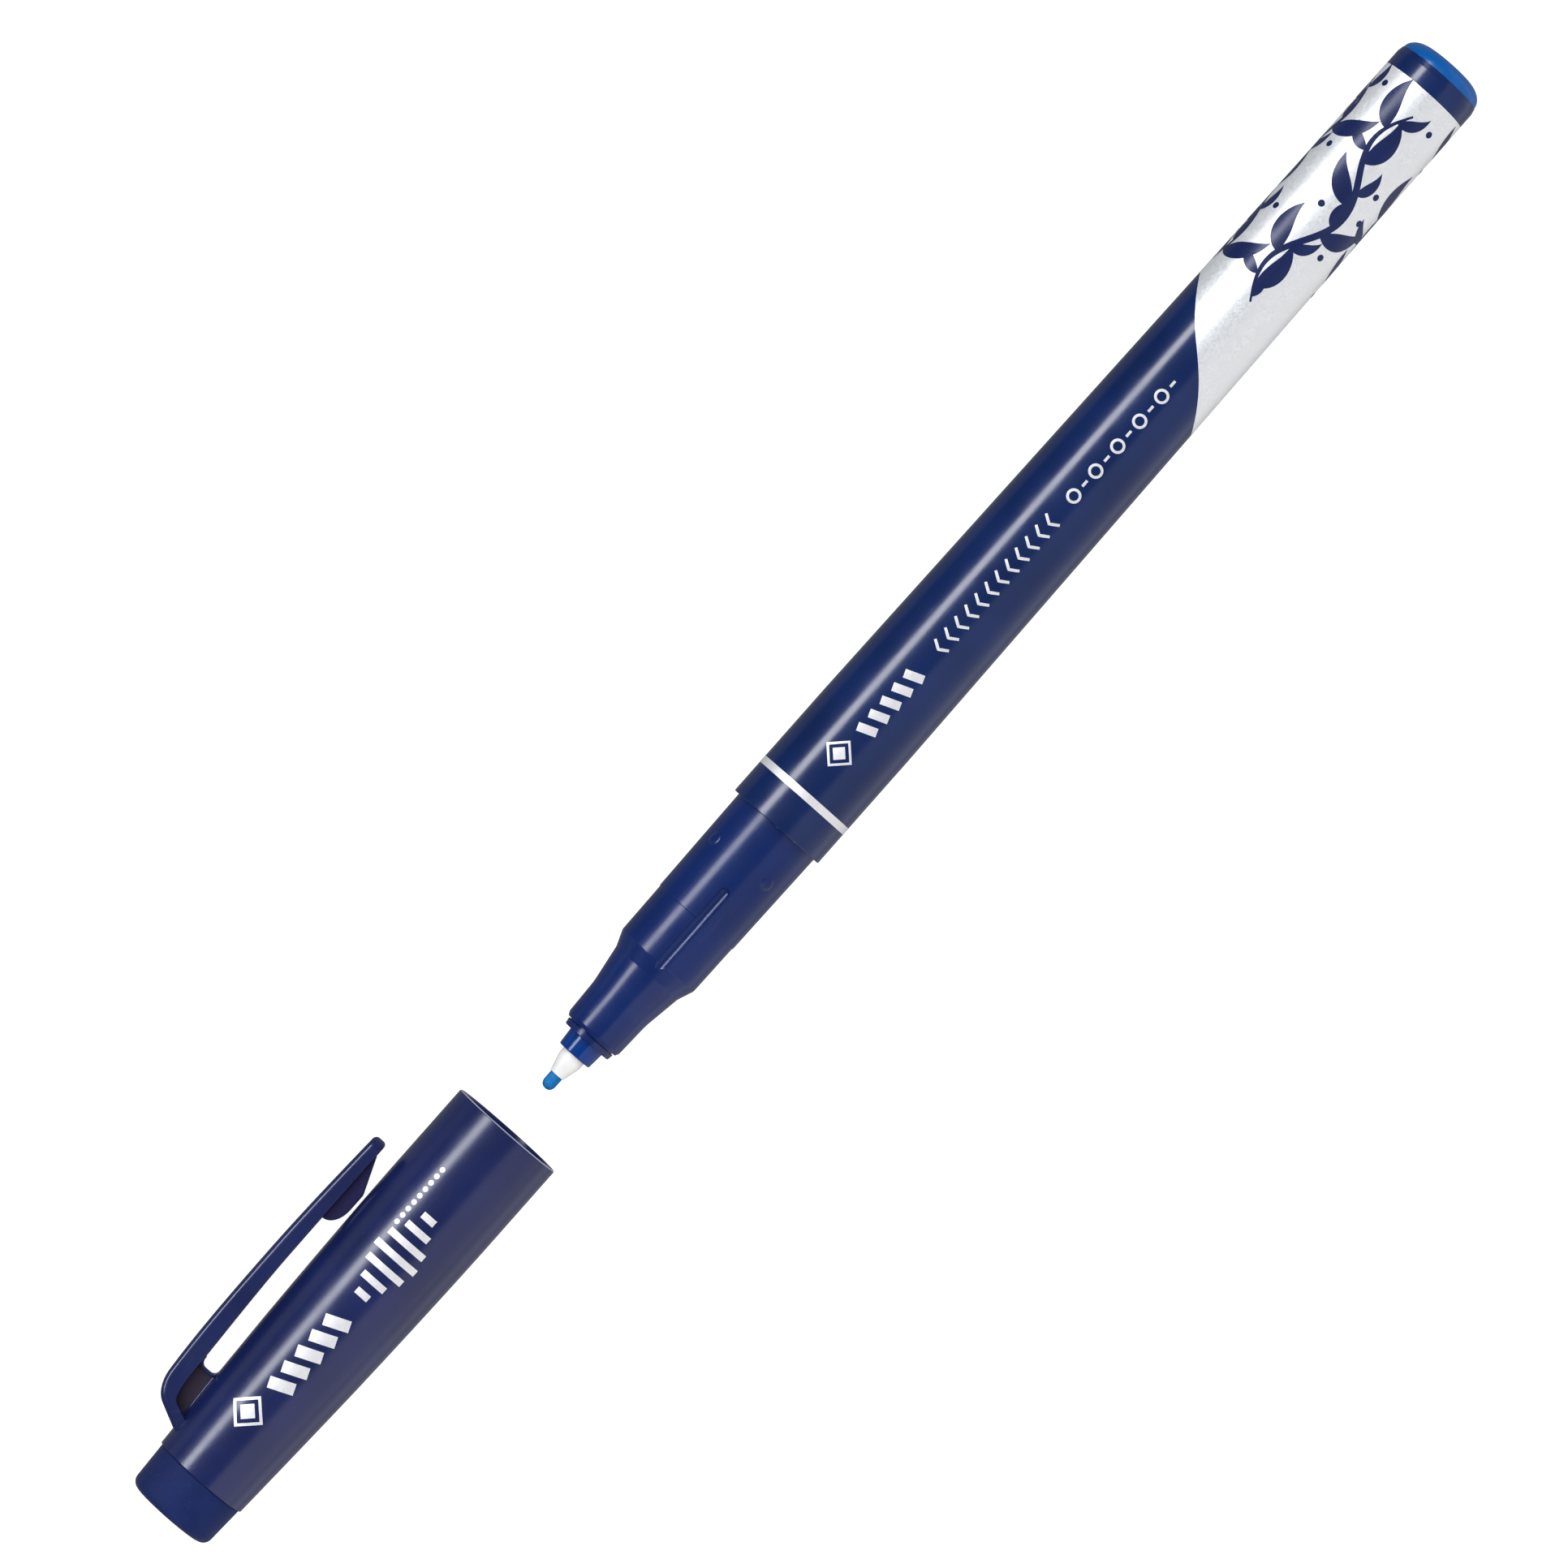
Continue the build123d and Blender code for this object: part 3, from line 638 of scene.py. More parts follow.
def make_cap():
    """The cap's tube: socket for the eraser, outside from crown to mouth, then the bore up to its ceiling."""
    outline = [Vector((MOUTH_X + SOCKET_V, 0)), Vector((MOUTH_X + SOCKET_V, SOCKET_R))]
    outline += rounded(
        [
            (SEAM_X, SOCKET_R, 0),
            (SEAM_X, CAP_CROWN_R, 0.08),
            (SEAM_X - END_LENGTH, cap_r(SEAM_X - END_LENGTH), 0),
        ]
    )
    for k in range(CAP_RINGS - 2):
        x = SEAM_X - END_LENGTH - (CAP_LENGTH - 2 * END_LENGTH) * (k + 1) / CAP_RINGS
        outline.append(Vector((x, cap_r(x))))
    mouth = [
        (0.8, CAP_R, 0),
        (0, CAP_R, 0.2),
        (0, BORE_MOUTH_R, 0.1),
        (SNAP_RING_V - 0.45, BORE_MOUTH_R, 0),
        (SNAP_RING_V, SNAP_RING_R, 0.2),
        (SNAP_RING_V + 0.45, BORE_MOUTH_R, 0),
        (RETAINER_V, BORE_MOUTH_R, 0),
        (RETAINER_V, RETAINER_R, 0),
        (RETAINER_V + 0.7, RETAINER_R, 0),
        (RETAINER_V + 0.7, LINER_BORE_R, 0),
        (CEILING_V - 16, LINER_BORE_R, 0),
        (CEILING_V, LINER_BORE_R - 0.53, 0),
        (CEILING_V, 0, 0),
    ]
    outline += rounded([(MOUTH_X + v, r, radius) for v, r, radius in mouth])
    lathe("cap_body", outline, navy_cap, "cap", ["cap_shell"], even_turns(256))


# Round of the cap's mouth rim, and the thickness of the painted highlight skin over it
EDGE_ROUND = 0.2
EDGE_SKIN = 0.004


def make_mouth_rim_painted_highlight():
    """A painted highlight on the cap's mouth rim: a thin paler skin over the round from its side to its
    mouth.
    """
    centre = Vector((MOUTH_X + EDGE_ROUND, CAP_R - EDGE_ROUND))
    outline = []
    for radius, turns in ((EDGE_ROUND, range(40, 101, 6)), (EDGE_ROUND - 0.05, range(100, 39, -6))):
        for turn in turns:
            angle = math.radians(turn - 5)
            way = Vector((-math.sin(angle), math.cos(angle)))
            outline.append(centre + way * (radius + EDGE_SKIN))
    lathe("mouth_rim_painted_highlight", outline, rim_painted_highlight, "cap", turns=even_turns(256))


ERASER_R = 4.76
ERASER_END_R = 4.56
ERASER_ROUND = 0.95
ERASER_STEM_R = 2.6


def make_eraser():
    """The eraser's crown, with extra points across its flat end, and the stem in the cap's socket."""
    outline = rounded(
        [
            (CROWN_X, 0, 0),
            (CROWN_X, ERASER_END_R, ERASER_ROUND),
            (SEAM_X + FIT, ERASER_R, 0.12),
            (SEAM_X + FIT, ERASER_STEM_R, 0),
            (MOUTH_X + SOCKET_V + FIT, ERASER_STEM_R, 0),
            (MOUTH_X + SOCKET_V + FIT, 0, 0),
        ],
        steps=8,
    )
    outline[1:1] = [Vector((CROWN_X, r)) for r in (1.2, 2.4)]
    lathe("eraser_crown", outline, eraser_navy, "cap", ["eraser"], even_turns(192))


make_cap()
make_mouth_rim_painted_highlight()
make_eraser()

# ---- Clip: (v, r) places in the plane of the axis and the clip ----

CLIP_WIDTH = 4.3
TAIL_V, TAIL_TIP_R = 8.5, 8.98
TAIL_WIDTH = 3.6
TAIL_SWEEP = 0.9
CREST_V, CREST_R = 22.7, 9.37
SHOULDER_V, CLIP_SHOULDER_R = 37.8, 8.92
INNER_R = 7.6
NUB_ROUND = 0.5
NUB_LENGTH = 0.8
NOTCH_HALF, NOTCH_DEPTH = 0.09, 0.05
CLIP_CROWN, CLIP_FILLET = 0.1, 0.5
TAIL_SHARE = 0.023
TAIL_STATIONS, BEAM_STATIONS = 22, 130


def hermite(start, end, start_way, end_way, t):
    """Point at t on a cubic from start to end that leaves and arrives along the two ways."""
    a, b = Vector(start), Vector(end)
    p, q = Vector(start_way), Vector(end_way)
    return (
        a * (2 * t**3 - 3 * t**2 + 1)
        + p * (t**3 - 2 * t**2 + t)
        + b * (3 * t**2 - 2 * t**3)
        + q * (t**3 - t**2)
    )


def clip_curves(t):
    """Outer and inner point of the clip's side outline, from its tail at 0 to its foot in the cap at 1.
    A span has its shares, its two ends as (v, r) and the ways it leaves and arrives."""
    spans = (
        (0.0, 0.35, (TAIL_V, TAIL_TIP_R), (CREST_V, CREST_R), (14, 0.6), (14, 0.0)),
        (0.35, 0.66, (CREST_V, CREST_R), (SHOULDER_V, CLIP_SHOULDER_R), (15, 0.0), (13, -1.2)),
        (0.66, 0.82, (SHOULDER_V, CLIP_SHOULDER_R), (40.4, 7.5), (3.2, -0.3), (1.4, -2.5)),
        (0.82, 1.0, (40.4, 7.5), (41.9, 4.4), (1.5, -2.9), (1.5, -3.2)),
    )
    inner_spans = (
        (0.0, 0.35, (TAIL_V, INNER_R), (CREST_V, INNER_R - 0.02), (14, 0.0), (14, -0.1)),
        (0.35, 0.66, (CREST_V, INNER_R - 0.02), (36.5, 7.06), (13, -0.1), (11, -0.4)),
        (0.66, 0.82, (36.5, 7.06), (39.55, 6.25), (3.0, -0.1), (0.8, -1.9)),
        (0.82, 1.0, (39.55, 6.25), (40.3, 4.4), (0.75, -1.9), (0.75, -1.9)),
    )
    found = []
    for group in (spans, inner_spans):
        for start, end, a, b, p, q in group:
            if t <= end:
                found.append(hermite(a, b, p, q, (t - start) / (end - start)))
                break
    return found


def clip_half_width(v):
    """Half the clip's width: a bowed tail, a slow widening to the crest, then parallel."""
    bow_r = (TAIL_SWEEP**2 + (TAIL_WIDTH / 2) ** 2) / (2 * TAIL_SWEEP)
    if v < TAIL_V + TAIL_SWEEP:
        return math.sqrt(max(bow_r**2 - (TAIL_V + bow_r - v) ** 2, 0.0025))
    share = min((v - TAIL_V - TAIL_SWEEP) / (CREST_V - TAIL_V - TAIL_SWEEP), 1)
    return (TAIL_WIDTH + (CLIP_WIDTH - TAIL_WIDTH) * share) / 2


def clip_stations():
    """Shares along the clip where it has a section, closest together at its tail."""
    tail = [TAIL_SHARE * (k / TAIL_STATIONS) ** 1.5 for k in range(TAIL_STATIONS)]
    return tail + [TAIL_SHARE + (1 - TAIL_SHARE) * k / BEAM_STATIONS for k in range(BEAM_STATIONS + 1)]


def clip_section(width, height):
    """Outline across the clip, from its half width and height: flat inside, crowned and filleted outside."""
    crown = CLIP_CROWN * min(width / (CLIP_WIDTH / 2), 1)
    fillet = min(CLIP_FILLET, width * 0.45)
    inner_round = min(0.12, width * 0.4)
    corners = [
        (-width, 0, inner_round),
        (-width, height - crown, fillet),
        (0, height, 9 * width),
        (width, height - crown, fillet),
        (width, 0, inner_round),
    ]
    return rounded(corners, closed=True, steps=4)


def make_clip():
    """The sprung beam with its arched root, as one skin."""
    stations = clip_stations()
    points, faces = [], []
    for t in stations:
        outer, inner = clip_curves(t)
        from_tail = outer.x - TAIL_V
        end_share = max(0, 1 - from_tail / NUB_ROUND)
        drop = NUB_ROUND * (1 - math.sqrt(1 - min(end_share, 0.98) ** 2))
        outer.y -= drop
        inner.y += drop * 0.9
        notch = max(0, 1 - abs(from_tail - NUB_LENGTH) / NOTCH_HALF)
        width = clip_half_width(outer.x) - NOTCH_DEPTH * notch
        section = clip_section(width, (outer - inner).length)
        way = (outer - inner).normalized()
        for across, up in section:
            spot = inner + way * up
            points.append(side_place(spot.x, spot.y, across))
    count = len(section)
    for s in range(len(stations) - 1):
        for k in range(count):
            n = (k + 1) % count
            faces.append([s * count + k, s * count + n, (s + 1) * count + n, (s + 1) * count + k])
    faces.append(list(range(count)))
    faces.append(list(range((len(stations) - 1) * count, len(stations) * count)))
    clip = new_piece("clip_spring", points, faces, navy_cap, None, ["cap_clip"])
    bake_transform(clip)


def plate(name, outline, half_width, bevel, material, body):
    """A flat piece in the plane of the clip, with bevelled rims."""
    count = len(outline)
    points = [side_place(v, r, side * half_width) for side in (-1, 1) for v, r in outline]
    faces = [[k, (k + 1) % count, count + (k + 1) % count, count + k] for k in range(count)]
    faces += [list(range(count)), list(range(count, 2 * count))]
    piece = new_piece(name, points, faces, material, body)
    rim = piece.modifiers.new("rim", "BEVEL")
    rim.width = bevel * MM
    rim.segments = 3
    rim.limit_method = "ANGLE"
    rim.angle_limit = math.radians(50)
    return piece


PAD_R = 6.08
PAD_BACK_V = 17.6
PAD_FRONT_V = 9.9
PAD_ROUND = (2.2, 1.52)
PAD_FLAT_END_V = 13.6
PAD_HALF = 1.1
WEB_HALF = 0.45
WEB_V = 35.45
SLOT_START_V = 34.6
SLOT_LOW_R, SLOT_HIGH_R = 5.29, 7.04
SLOT_ROUND = 0.6


def slot_outline(v, low_r, high_r, radius):
    """The end of the slot under the clip: straight at v, with a round at the cap and at the beam."""
    return rounded(
        [(SLOT_START_V, low_r, 0), (v, low_r, radius), (v, high_r, radius), (SLOT_START_V, high_r, 0)]
    )


def make_pad_and_web():
    """The pad under the beam and the web that fills the arch, coloured with painted shade and, on the web, a
    painted reflection; the rim round its slot and the web's foot.
    """
    pad = [Vector((PAD_BACK_V, INNER_R + 0.4))]
    for k in range(DOME_STEPS + 1):
        angle = math.radians(90 * k / DOME_STEPS)
        v = PAD_BACK_V - PAD_ROUND[0] * (1 - math.cos(angle))
        pad.append(Vector((v, PAD_R + PAD_ROUND[1] * (1 - math.sin(angle)))))
    pad += rounded(
        [
            (PAD_FLAT_END_V + 1, PAD_R, 0),
            (PAD_FLAT_END_V, PAD_R, 0.6),
            (PAD_FRONT_V, INNER_R, 0.2),
            (PAD_FRONT_V, INNER_R + 0.4, 0),
        ]
    )
    plate("clip_pad", pad, PAD_HALF, 0.12, pad_painted_shade, "clip")
    slot_end = slot_outline(WEB_V, SLOT_LOW_R, SLOT_HIGH_R, SLOT_ROUND)
    rim_outline = slot_outline(WEB_V + 0.28, SLOT_LOW_R - 0.2, SLOT_HIGH_R + 0.22, SLOT_ROUND + 0.2)
    web_bottom = [Vector((40.9, 4.4)), Vector((SLOT_START_V, 4.4))]
    web_top = [Vector((SLOT_START_V, 7.3)), Vector((40.0, 7.3)), Vector((40.7, 5.5))]
    plate("clip_web", web_bottom + slot_end + web_top, WEB_HALF, 0.04, web_painted_shade_and_reflection, "cap")
    plate("web_rim", slot_end + rim_outline[::-1], WEB_HALF + 0.35, 0.06, navy_cap, "cap")
    foot = [Vector(p) for p in ((35.5, 5.0), (40.5, 4.8), (40.5, 5.2), (35.5, 5.44))]
    plate("web_foot", foot, WEB_HALF + 0.2, 0.16, navy_cap, "cap")


make_clip()
make_pad_and_web()

# ---- Prints: thin layers on the barrel and the cap ----

LIFT = 0.012
SINK = 0.03
FACING = 90.0
PRINT_STEP = 0.3
LEAF_STEPS = 18


def divide(path, widths):
    """The path and its widths with extra spots, so that none are further apart than a print's step."""
    spots, wide = [Vector(path[0])], [widths[0]]
    for a, b, p, q in zip(path, path[1:], widths, widths[1:]):
        parts = max(1, math.ceil((Vector(b) - Vector(a)).length / PRINT_STEP))
        for k in range(1, parts + 1):
            spots.append(Vector(a).lerp(Vector(b), k / parts))
            wide.append(p + (q - p) * k / parts)
    return spots, wide


class Print:
    """Thin closed layers on a turned surface, gathered into one piece. A spot is (x, round) in
    millimetres, where round is measured on the surface from the print's centre line."""

    def __init__(self, surface, centre=0.0, lift=LIFT):
        self.surface = surface
        self.centre = centre
        self.lift = lift
        self.points = []
        self.faces = []

    def layer(self, grid, closed=False):
        """Adds a layer from rows of (x, turn) places; each row may close on itself."""
        rows, columns = len(grid), len(grid[0])
        base = len(self.points)
        for height in (self.lift, -SINK):
            for row in grid:
                self.points += [place(x, self.surface(x) + height, turn) for x, turn in row]
        top, bottom = base, base + rows * columns

        def side(i, j, p, q):
            """Wall below the edge from (i, j) to (p, q)."""
            a, b = i * columns + j % columns, p * columns + q % columns
            self.faces.append([top + a, top + b, bottom + b, bottom + a])

        last = columns if closed else columns - 1
        for i in range(rows - 1):
            for j in range(last):
                corners = ((i, j), (i, j + 1), (i + 1, j + 1), (i + 1, j))
                for level in (top, bottom):
                    self.faces.append([level + p * columns + q % columns for p, q in corners])
        for j in range(last):
            side(0, j, 0, j + 1)
            side(rows - 1, j, rows - 1, j + 1)
        if not closed:
            for i in range(rows - 1):
                side(i, 0, i + 1, 0)
                side(i, columns - 1, i + 1, columns - 1)

    def turned(self, spot):
        """The (x, turn) place of a spot."""
        x, along_surface = spot
        return x, self.centre + math.degrees(along_surface / self.surface(x))

    def stroke(self, path, widths, across=4):
        """Adds a stroke through spots, with its width at each, in steps that follow the surface."""
        path, widths = divide(path, widths)
        grid = []
        for k, (here, width) in enumerate(zip(path, widths)):
            before, after = path[max(k - 1, 0)], path[min(k + 1, len(path) - 1)]
            way = (Vector(after) - Vector(before)).normalized()
            side = Vector((-way.y, way.x))
            spots = [Vector(here) + side * width * (j / across - 0.5) for j in range(across + 1)]
            grid.append([self.turned(spot) for spot in spots])
        self.layer(grid)

    def loop(self, middle, reach, width, corners):
        """Adds a ring of straight sides round a spot; reach is its half length and half height."""
        grid = []
        ways = [math.radians(360 * k / corners) for k in range(corners + 1)]
        for inset in (0, width):
            share = 1 - inset / reach[0]
            across, up = reach[0] * share, reach[1] * share
            spots = [(middle[0] + across * math.cos(w), middle[1] + up * math.sin(w)) for w in ways]
            side_parts = math.ceil(math.dist(reach, (0, 0)) / PRINT_STEP) if corners < 9 else 1
            ring = []
            for a, b in zip(spots, spots[1:]):
                ring += [Vector(a).lerp(Vector(b), k / side_parts) for k in range(side_parts)]
            grid.append([self.turned(spot) for spot in ring])
        self.layer(grid, True)

    def leaf(self, base, heading, bend, length, width):
        """Adds an almond-shaped leaf that starts at a spot and bends as it grows, in degrees."""
        path, widths, spot = [], [], Vector(base)
        for k in range(LEAF_STEPS + 1):
            path.append(spot.copy())
            angle = math.radians(heading + bend * k / LEAF_STEPS)
            spot += Vector((math.cos(angle), math.sin(angle))) * length / LEAF_STEPS
            widths.append(max(width * math.sin(math.pi * (k / LEAF_STEPS) ** 0.75), 0.04))
        self.stroke(path, widths)

    def make(self, name, material, body):
        """Makes one piece of the layers gathered so far."""
        return new_piece(name, self.points, self.faces, material, body)


RING_FRONT_X, RING_REAR_X = -3.58, -4.35
FOIL_X = -59.25
FOIL_SLANT = 5.7
FOIL_CORNER = 0.4
FOIL_REAR_X = -91.6
FOIL_ROWS = 24


def make_bands():
    """A narrow ring on the grip, and the foil round the rear third with its slanting, curved front edge."""
    turns = even_turns(256)
    ring = Print(barrel_r)
    ring.layer([[(x, t) for t in turns] for x in (RING_FRONT_X, RING_REAR_X)], True)
    ring.make("silver_band", silver_ink, "pen")
    wrap = Print(barrel_r)
    grid = []
    for i in range(FOIL_ROWS + 1):
        row = []
        for t in turns:
            toward_clip = math.radians(FACING - t)
            slant = FOIL_SLANT * math.sin(toward_clip) - FOIL_CORNER * math.sin(3 * toward_clip)
            start = FOIL_X - slant
            row.append((start + (FOIL_REAR_X - start) * i / FOIL_ROWS, t))
        grid.append(row)
    wrap.layer(grid, True)
    wrap.make("foil_wrap", foil, "pen")


VINE_COUNT = 4
VINE_START_X, VINE_LENGTH = -66.0, 23.0
VINE_SWING = 1.45
VINE_TURN = 8
STEM_STEPS = 90
LEAVES = 6
DOT_R = 0.34


def vine_spot(start, swing, share):
    """Spot on a vine's stem, from its front end at 0 to its rear end at 1."""
    return Vector((start - VINE_LENGTH * share, swing * math.sin(3 * math.pi * share)))


def add_leaf_pair(art, start, swing, share, side):
    """A large leaf on one side of the stem, a small one on the other, and a dot beside them."""
    way = vine_spot(start, swing, share + 0.01) - vine_spot(start, swing, share - 0.01)
    along = math.degrees(math.atan2(way.y, way.x))
    large, small = vine_spot(start, swing, share), vine_spot(start, swing, share + 0.05)
    art.leaf(large, along + 58 * side, bend=-62 * side, length=5.6, width=1.85)
    art.leaf(small, along - 62 * side, bend=70 * side, length=3.4, width=1.1)
    dot = vine_spot(start, swing, share + 0.1) + Vector((0, 2.55 * side))
    art.loop(dot, (DOT_R, DOT_R), width=DOT_R - 0.01, corners=20)


def make_ornament():
    """Leafy vines along the foil, evenly round the barrel, with every second one swinging the other way."""
    for k in range(VINE_COUNT):
        art = Print(barrel_r, FACING + VINE_TURN + 360 * k / VINE_COUNT, lift=2 * LIFT)
        swing = VINE_SWING if k % 2 else -VINE_SWING
        start = VINE_START_X - 1.0 * (k % 2)
        shares = [i / STEM_STEPS for i in range(STEM_STEPS + 1)]
        path = [vine_spot(start, swing, share) for share in shares]
        art.stroke(path, [0.2 + 0.5 * math.sin(math.pi * share) for share in shares])
        for i in range(LEAVES):
            add_leaf_pair(art, start, swing, (i + 0.35) / LEAVES, 1 if i % 2 else -1)
        art.leaf(vine_spot(start, swing, 0.02), 170, bend=40, length=2.6, width=0.8)
        art.make(f"vine_{k + 1}", navy_ink, "pen")


BARREL_MARKS_TURN = 4
SPINDLE_BARS = 7
CAP_DOTS = 9


def add_emblem(art, x, along_surface, size, line):
    """A filled diamond inside a diamond outline."""
    art.loop((x, along_surface), (size, size), line, corners=4)
    ends_and_middle = [(x + size * k / 2, along_surface) for k in (-1, 0, 1)]
    art.stroke(ends_and_middle, [0.03, size, 0.03])


def add_bars(art, x, count, pitch, width, height, lean):
    """A row of leaning bars with their middles on the print's centre line."""
    for k in range(count):
        middle = x - pitch * k
        art.stroke([(middle + lean, height / 2), (middle - lean, -height / 2)], [width, width])


def add_chevrons(art, x, count, pitch, length, half_height):
    """A row of chevrons that point towards the nib, with their tips on the print's centre line."""
    for k in range(count):
        tip = x - pitch * k
        art.stroke([(tip - length, half_height), (tip, 0), (tip - length, -half_height)], [0.26, 0.3, 0.26])


def add_links(art, x, count, pitch, radius, line):
    """A row of rings with a short dash behind each."""
    for k in range(count):
        middle = x - pitch * k
        art.loop((middle, 0), (radius, radius), line, corners=32)
        art.stroke([(middle - 1.2, 0), (middle - 1.9, 0)], [line, line])


def make_barrel_marks():
    """An emblem, bars, chevrons and linked rings in a line along the barrel."""
    art = Print(barrel_r, FACING + BARREL_MARKS_TURN)
    add_emblem(art, -9.0, -0.5, size=1.6, line=0.32)
    add_bars(art, -12.4, count=5, pitch=1.65, width=0.85, height=1.8, lean=-0.35)
    add_chevrons(art, -22.4, count=12, pitch=1.42, length=0.55, half_height=0.86)
    add_links(art, -41.5, count=5, pitch=3.1, radius=0.72, line=0.26)
    art.make("barrel_marks", silver_ink, "pen")


def make_cap_marks():
    """An emblem, bars and a spindle of upright bars along the cap, with a row of dots beside the spindle."""
    art = Print(cap_r, FACING)
    add_emblem(art, MOUTH_X + 35.5, -0.8, size=1.9, line=0.4)
    add_bars(art, MOUTH_X + 31.6, count=5, pitch=1.95, width=1.15, height=2.35, lean=-0.5)
    for k in range(SPINDLE_BARS):
        x = MOUTH_X + 20.2 - 1.55 * k
        height = 1.3 + 3.7 * math.sin(math.pi * (k + 0.5) / SPINDLE_BARS) ** 2
        art.stroke([(x, height / 2), (x, -height / 2)], [0.7, 0.7])
    for k in range(CAP_DOTS):
        art.loop((MOUTH_X + 13.0 - 0.8 * k, -2.15), (0.26, 0.26), width=0.25, corners=16)
    art.make("cap_marks", silver_ink, "cap")


make_bands()
make_ornament()
make_barrel_marks()
make_cap_marks()

# ---- Camera, light and floor ----

CAMERA_DISTANCE = 950.0
CAMERA_FOOT_X = 1.0
TARGET_X, TARGET_CLIP = -3.49, 2.11
FRAME_WIDTH = 147.0
TAIL_ANGLE = 48.5


def add_camera():
    """Looks square on to the pen with the clip in profile, rolled so that the tail points up to the right."""
    data = bpy.data.cameras.new("camera")
    camera = bpy.data.objects.new("camera", data)
    bpy.context.scene.collection.objects.link(camera)
    target = (ALONG * TARGET_X + CLIP * TARGET_CLIP) * MM
    location = (ALONG * CAMERA_FOOT_X + UPPER * CAMERA_DISTANCE) * MM
    back = (location - target).normalized()
    tail = (-ALONG + back * back.dot(ALONG)).normalized()
    side = back.cross(tail)
    angle = math.radians(TAIL_ANGLE)
    right = tail * math.cos(angle) - side * math.sin(angle)
    up = tail * math.sin(angle) + side * math.cos(angle)
    camera.matrix_world = Matrix((right, up, back)).transposed().to_4x4()
    camera.location = location
    data.sensor_width = 36.0
    data.lens = data.sensor_width * CAMERA_DISTANCE / FRAME_WIDTH
    data.clip_start, data.clip_end = 0.05, 50.0
    bpy.context.scene.camera = camera


WHITE = (1, 1, 1)
WARM = (1, 0.8, 0.62)
# Middle of the cards that show only in the cap, in metres
CARD_X = 0.22


def look_from(turn_from_camera):
    """Direction at an angle from the camera's side of the pen, towards the clip."""
    angle = math.radians(turn_from_camera)
    return UPPER * math.cos(angle) + CLIP * math.sin(angle)


def add_panel(name, angle, distance, length, width, radiance, x=0.0, tint=WHITE, in_reflections=True):
    """A soft panel along the pen, in metres, that shows only in reflections or only lights matte surfaces."""
    data = bpy.data.lights.new(name, "AREA")
    data.shape = "RECTANGLE"
    data.size, data.size_y = length, width
    data.energy = radiance * math.pi * length * width
    data.color = tint
    light = bpy.data.objects.new(name, data)
    bpy.context.scene.collection.objects.link(light)
    back = look_from(angle)
    light.matrix_world = Matrix((ALONG, back.cross(ALONG), back)).transposed().to_4x4()
    light.location = back * distance + ALONG * x
    light.visible_camera = False
    light.visible_diffuse = not in_reflections
    light.visible_glossy = in_reflections


# Brightness of the surroundings in reflections, by angle from the camera's side towards the clip
SURROUNDINGS = (
    (-180, 0.25),
    (-135, 0.4),
    (-118, 0.95),
    (-106, 0.8),
    (-92, 0.6),
    (-70, 0.44),
    (-30, 0.5),
    (-26, 0.02),
    (100, 0.02),
    (112, 0.22),
    (130, 0.2),
    (180, 0.25),
)


# They are slightly warm beyond an angle away from the clip
WARM_ANGLE = -40
WARMTH = 0.08


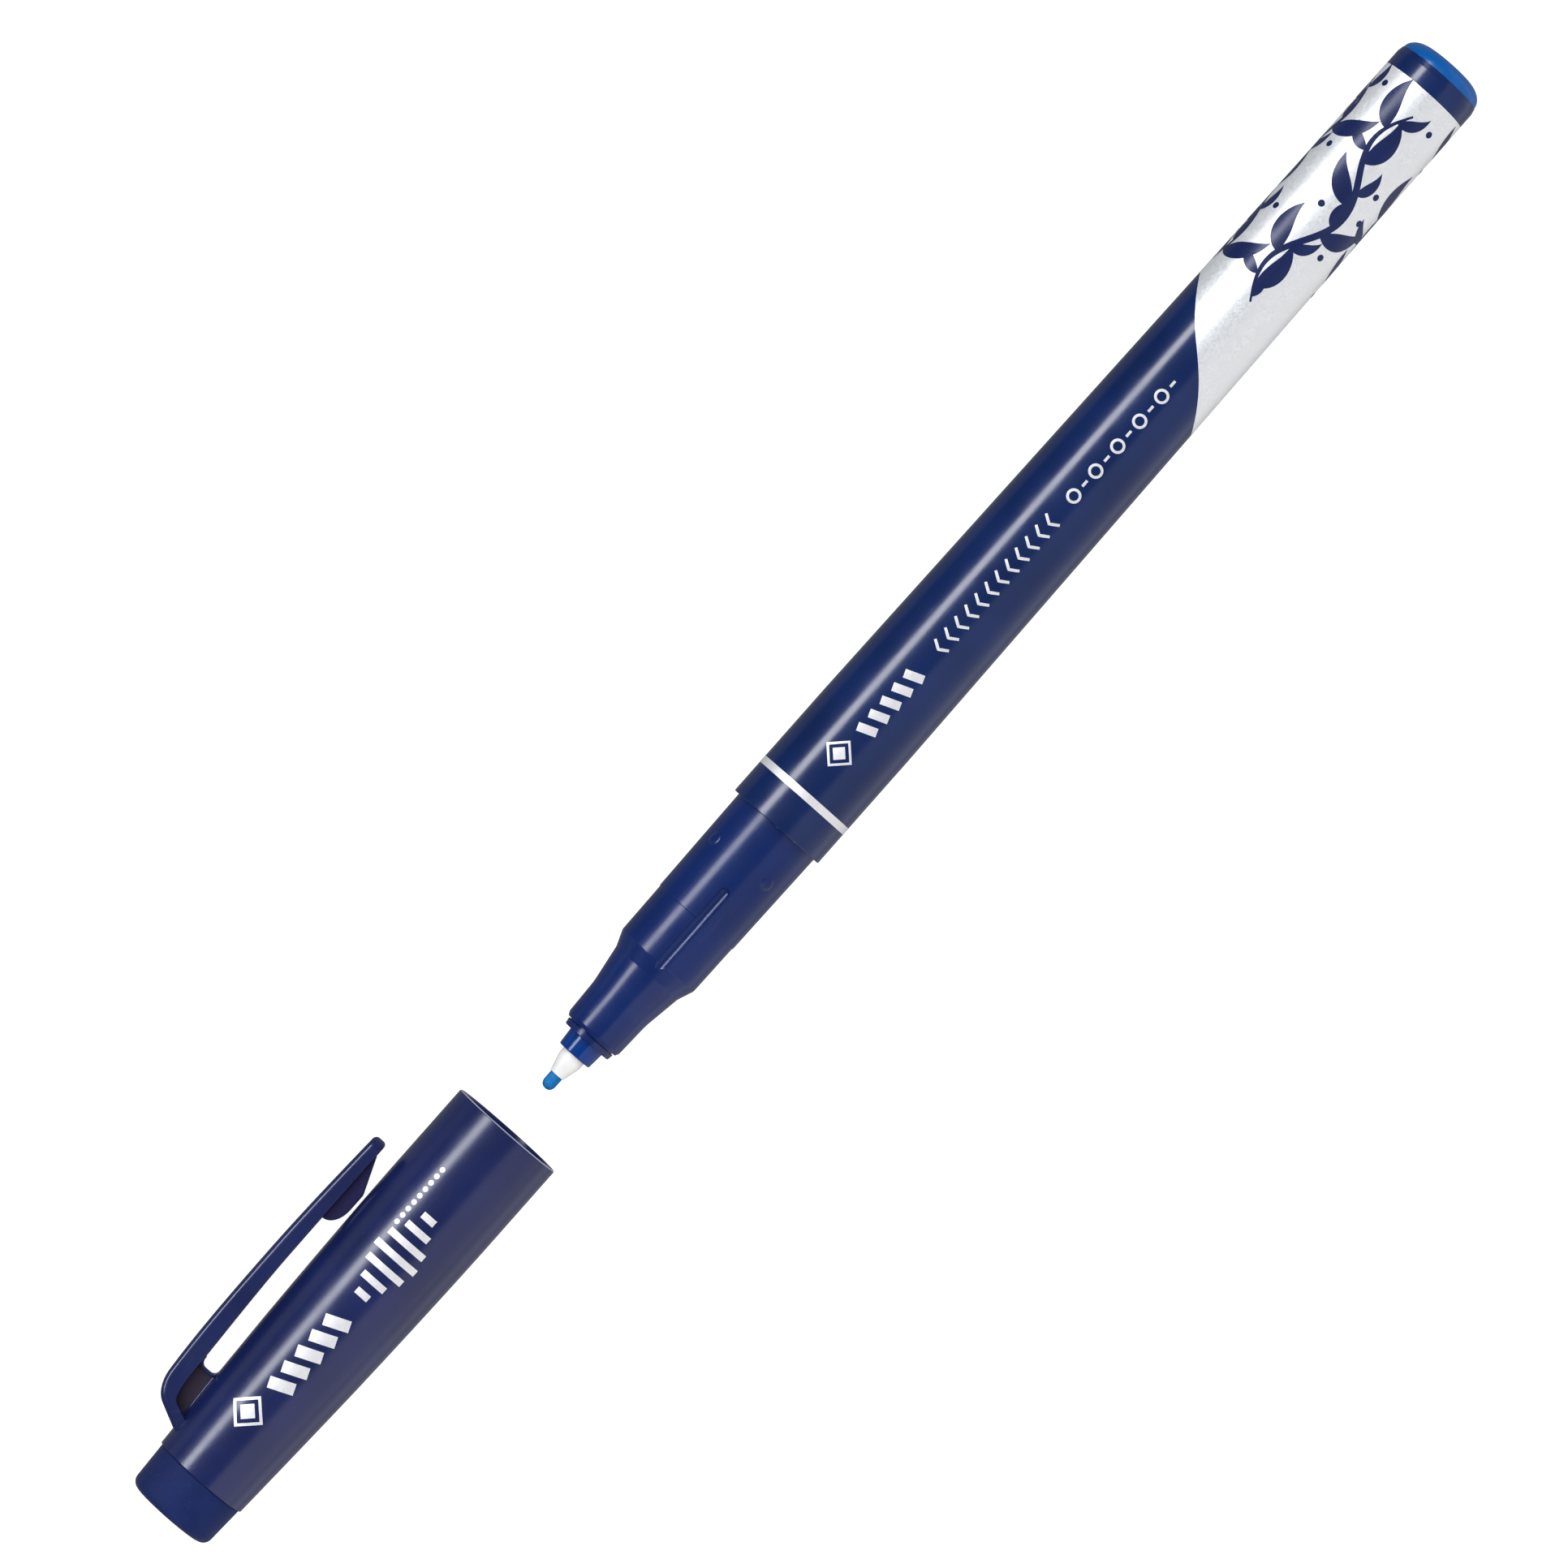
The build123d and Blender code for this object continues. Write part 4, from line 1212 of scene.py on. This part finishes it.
def add_surroundings():
    """A dome that only reflections see: brightest away from the clip, dim behind, dark round the camera."""
    bpy.ops.mesh.primitive_uv_sphere_add(segments=64, ring_count=32, radius=4.0)
    dome = bpy.context.object
    dome.name = "reflection_dome"
    dome.visible_camera = False
    dome.visible_diffuse = False
    dome.visible_shadow = False
    dome.visible_transmission = False
    paint = Paint("reflection_dome")
    toward = {}
    for name, way in (("clip", CLIP), ("upper", UPPER)):
        dot = paint.node("ShaderNodeVectorMath", operation="DOT_PRODUCT")
        paint.tree.links.new(paint.where, dot.inputs[0])
        dot.inputs[1].default_value = way
        toward[name] = dot.outputs["Value"]
    angle = paint.node("ShaderNodeMath", operation="ARCTAN2")
    paint.tree.links.new(toward["clip"], angle.inputs[0])
    paint.tree.links.new(toward["upper"], angle.inputs[1])
    share = paint.ramp(angle.outputs[0], 0, 1, -math.pi, math.pi)
    ramp = paint.tree.nodes.new("ShaderNodeValToRGB")
    paint.tree.links.new(share, ramp.inputs["Fac"])
    stops = ramp.color_ramp.elements
    while len(stops) < len(SURROUNDINGS):
        stops.new(0.5)
    for stop, (degrees, level) in zip(stops, SURROUNDINGS):
        stop.position = (degrees + 180) / 360
        warmth = WARMTH if degrees < WARM_ANGLE else 0
        stop.color = (level, level * (1 - warmth / 2), level * (1 - warmth), 1)
    emission = paint.node("ShaderNodeEmission", Color=ramp.outputs["Color"], Strength=1.0)
    output = paint.tree.nodes["Material Output"]
    paint.tree.links.new(emission.outputs[0], output.inputs["Surface"])
    paint.material.cycles.emission_sampling = "NONE"
    dome.data.materials.append(paint.material)


FLOOR_GLOW = 0.95
FLOOR_GAP = 0.01 * MM


def add_floor():
    """A white table, lit from within so that the shadows on it stay faint."""
    paint = Paint("floor", Roughness=0.9, Specular_IOR_Level=0.0)
    paint.link(paint.blend(paint.noise(400, 2), (0.3, 0.3, 0.3), (0.32, 0.32, 0.32)), "Base Color")
    paint.shader.inputs["Emission Color"].default_value = (1, 1, 1, 1)
    paint.shader.inputs["Emission Strength"].default_value = FLOOR_GLOW
    bpy.ops.mesh.primitive_plane_add(size=40, location=(0, 0, cad_box[0].z - FLOOR_GAP))
    floor = bpy.context.object
    floor.name = "floor"
    floor.data.materials.append(paint.material)
    floor.visible_glossy = False
    floor.visible_diffuse = False


def add_world():
    """A white surround, dimmer below the table top; reflections don't see it."""
    world = bpy.data.worlds.new("studio")
    bpy.context.scene.world = world
    world.use_nodes = True
    world.cycles_visibility.glossy = False
    nodes, links = world.node_tree.nodes, world.node_tree.links
    way = nodes.new("ShaderNodeSeparateXYZ")
    links.new(nodes.new("ShaderNodeTexCoord").outputs["Generated"], way.inputs[0])
    height = nodes.new("ShaderNodeMapRange")
    links.new(way.outputs["Z"], height.inputs["Value"])
    for name, value in (("From Min", -0.35), ("From Max", 0.1), ("To Min", 0.25), ("To Max", 1.0)):
        height.inputs[name].default_value = value
    background = nodes["Background"]
    background.inputs["Color"].default_value = (1, 1, 1, 1)
    links.new(height.outputs["Result"], background.inputs["Strength"])


add_camera()
add_panel("key_strip", 43, distance=0.6, length=0.76, width=0.15, radiance=12)
add_panel("cap_card", 91, distance=0.5, length=0.34, width=0.2, radiance=0.33, x=CARD_X)
add_panel("cap_low_card", -62, distance=0.5, length=0.34, width=0.66, radiance=0.55, x=CARD_X, tint=WARM)
add_panel("fill_panel", 27, distance=1.4, length=1.5, width=1.2, radiance=2.0, in_reflections=False)
add_surroundings()
add_floor()
add_world()
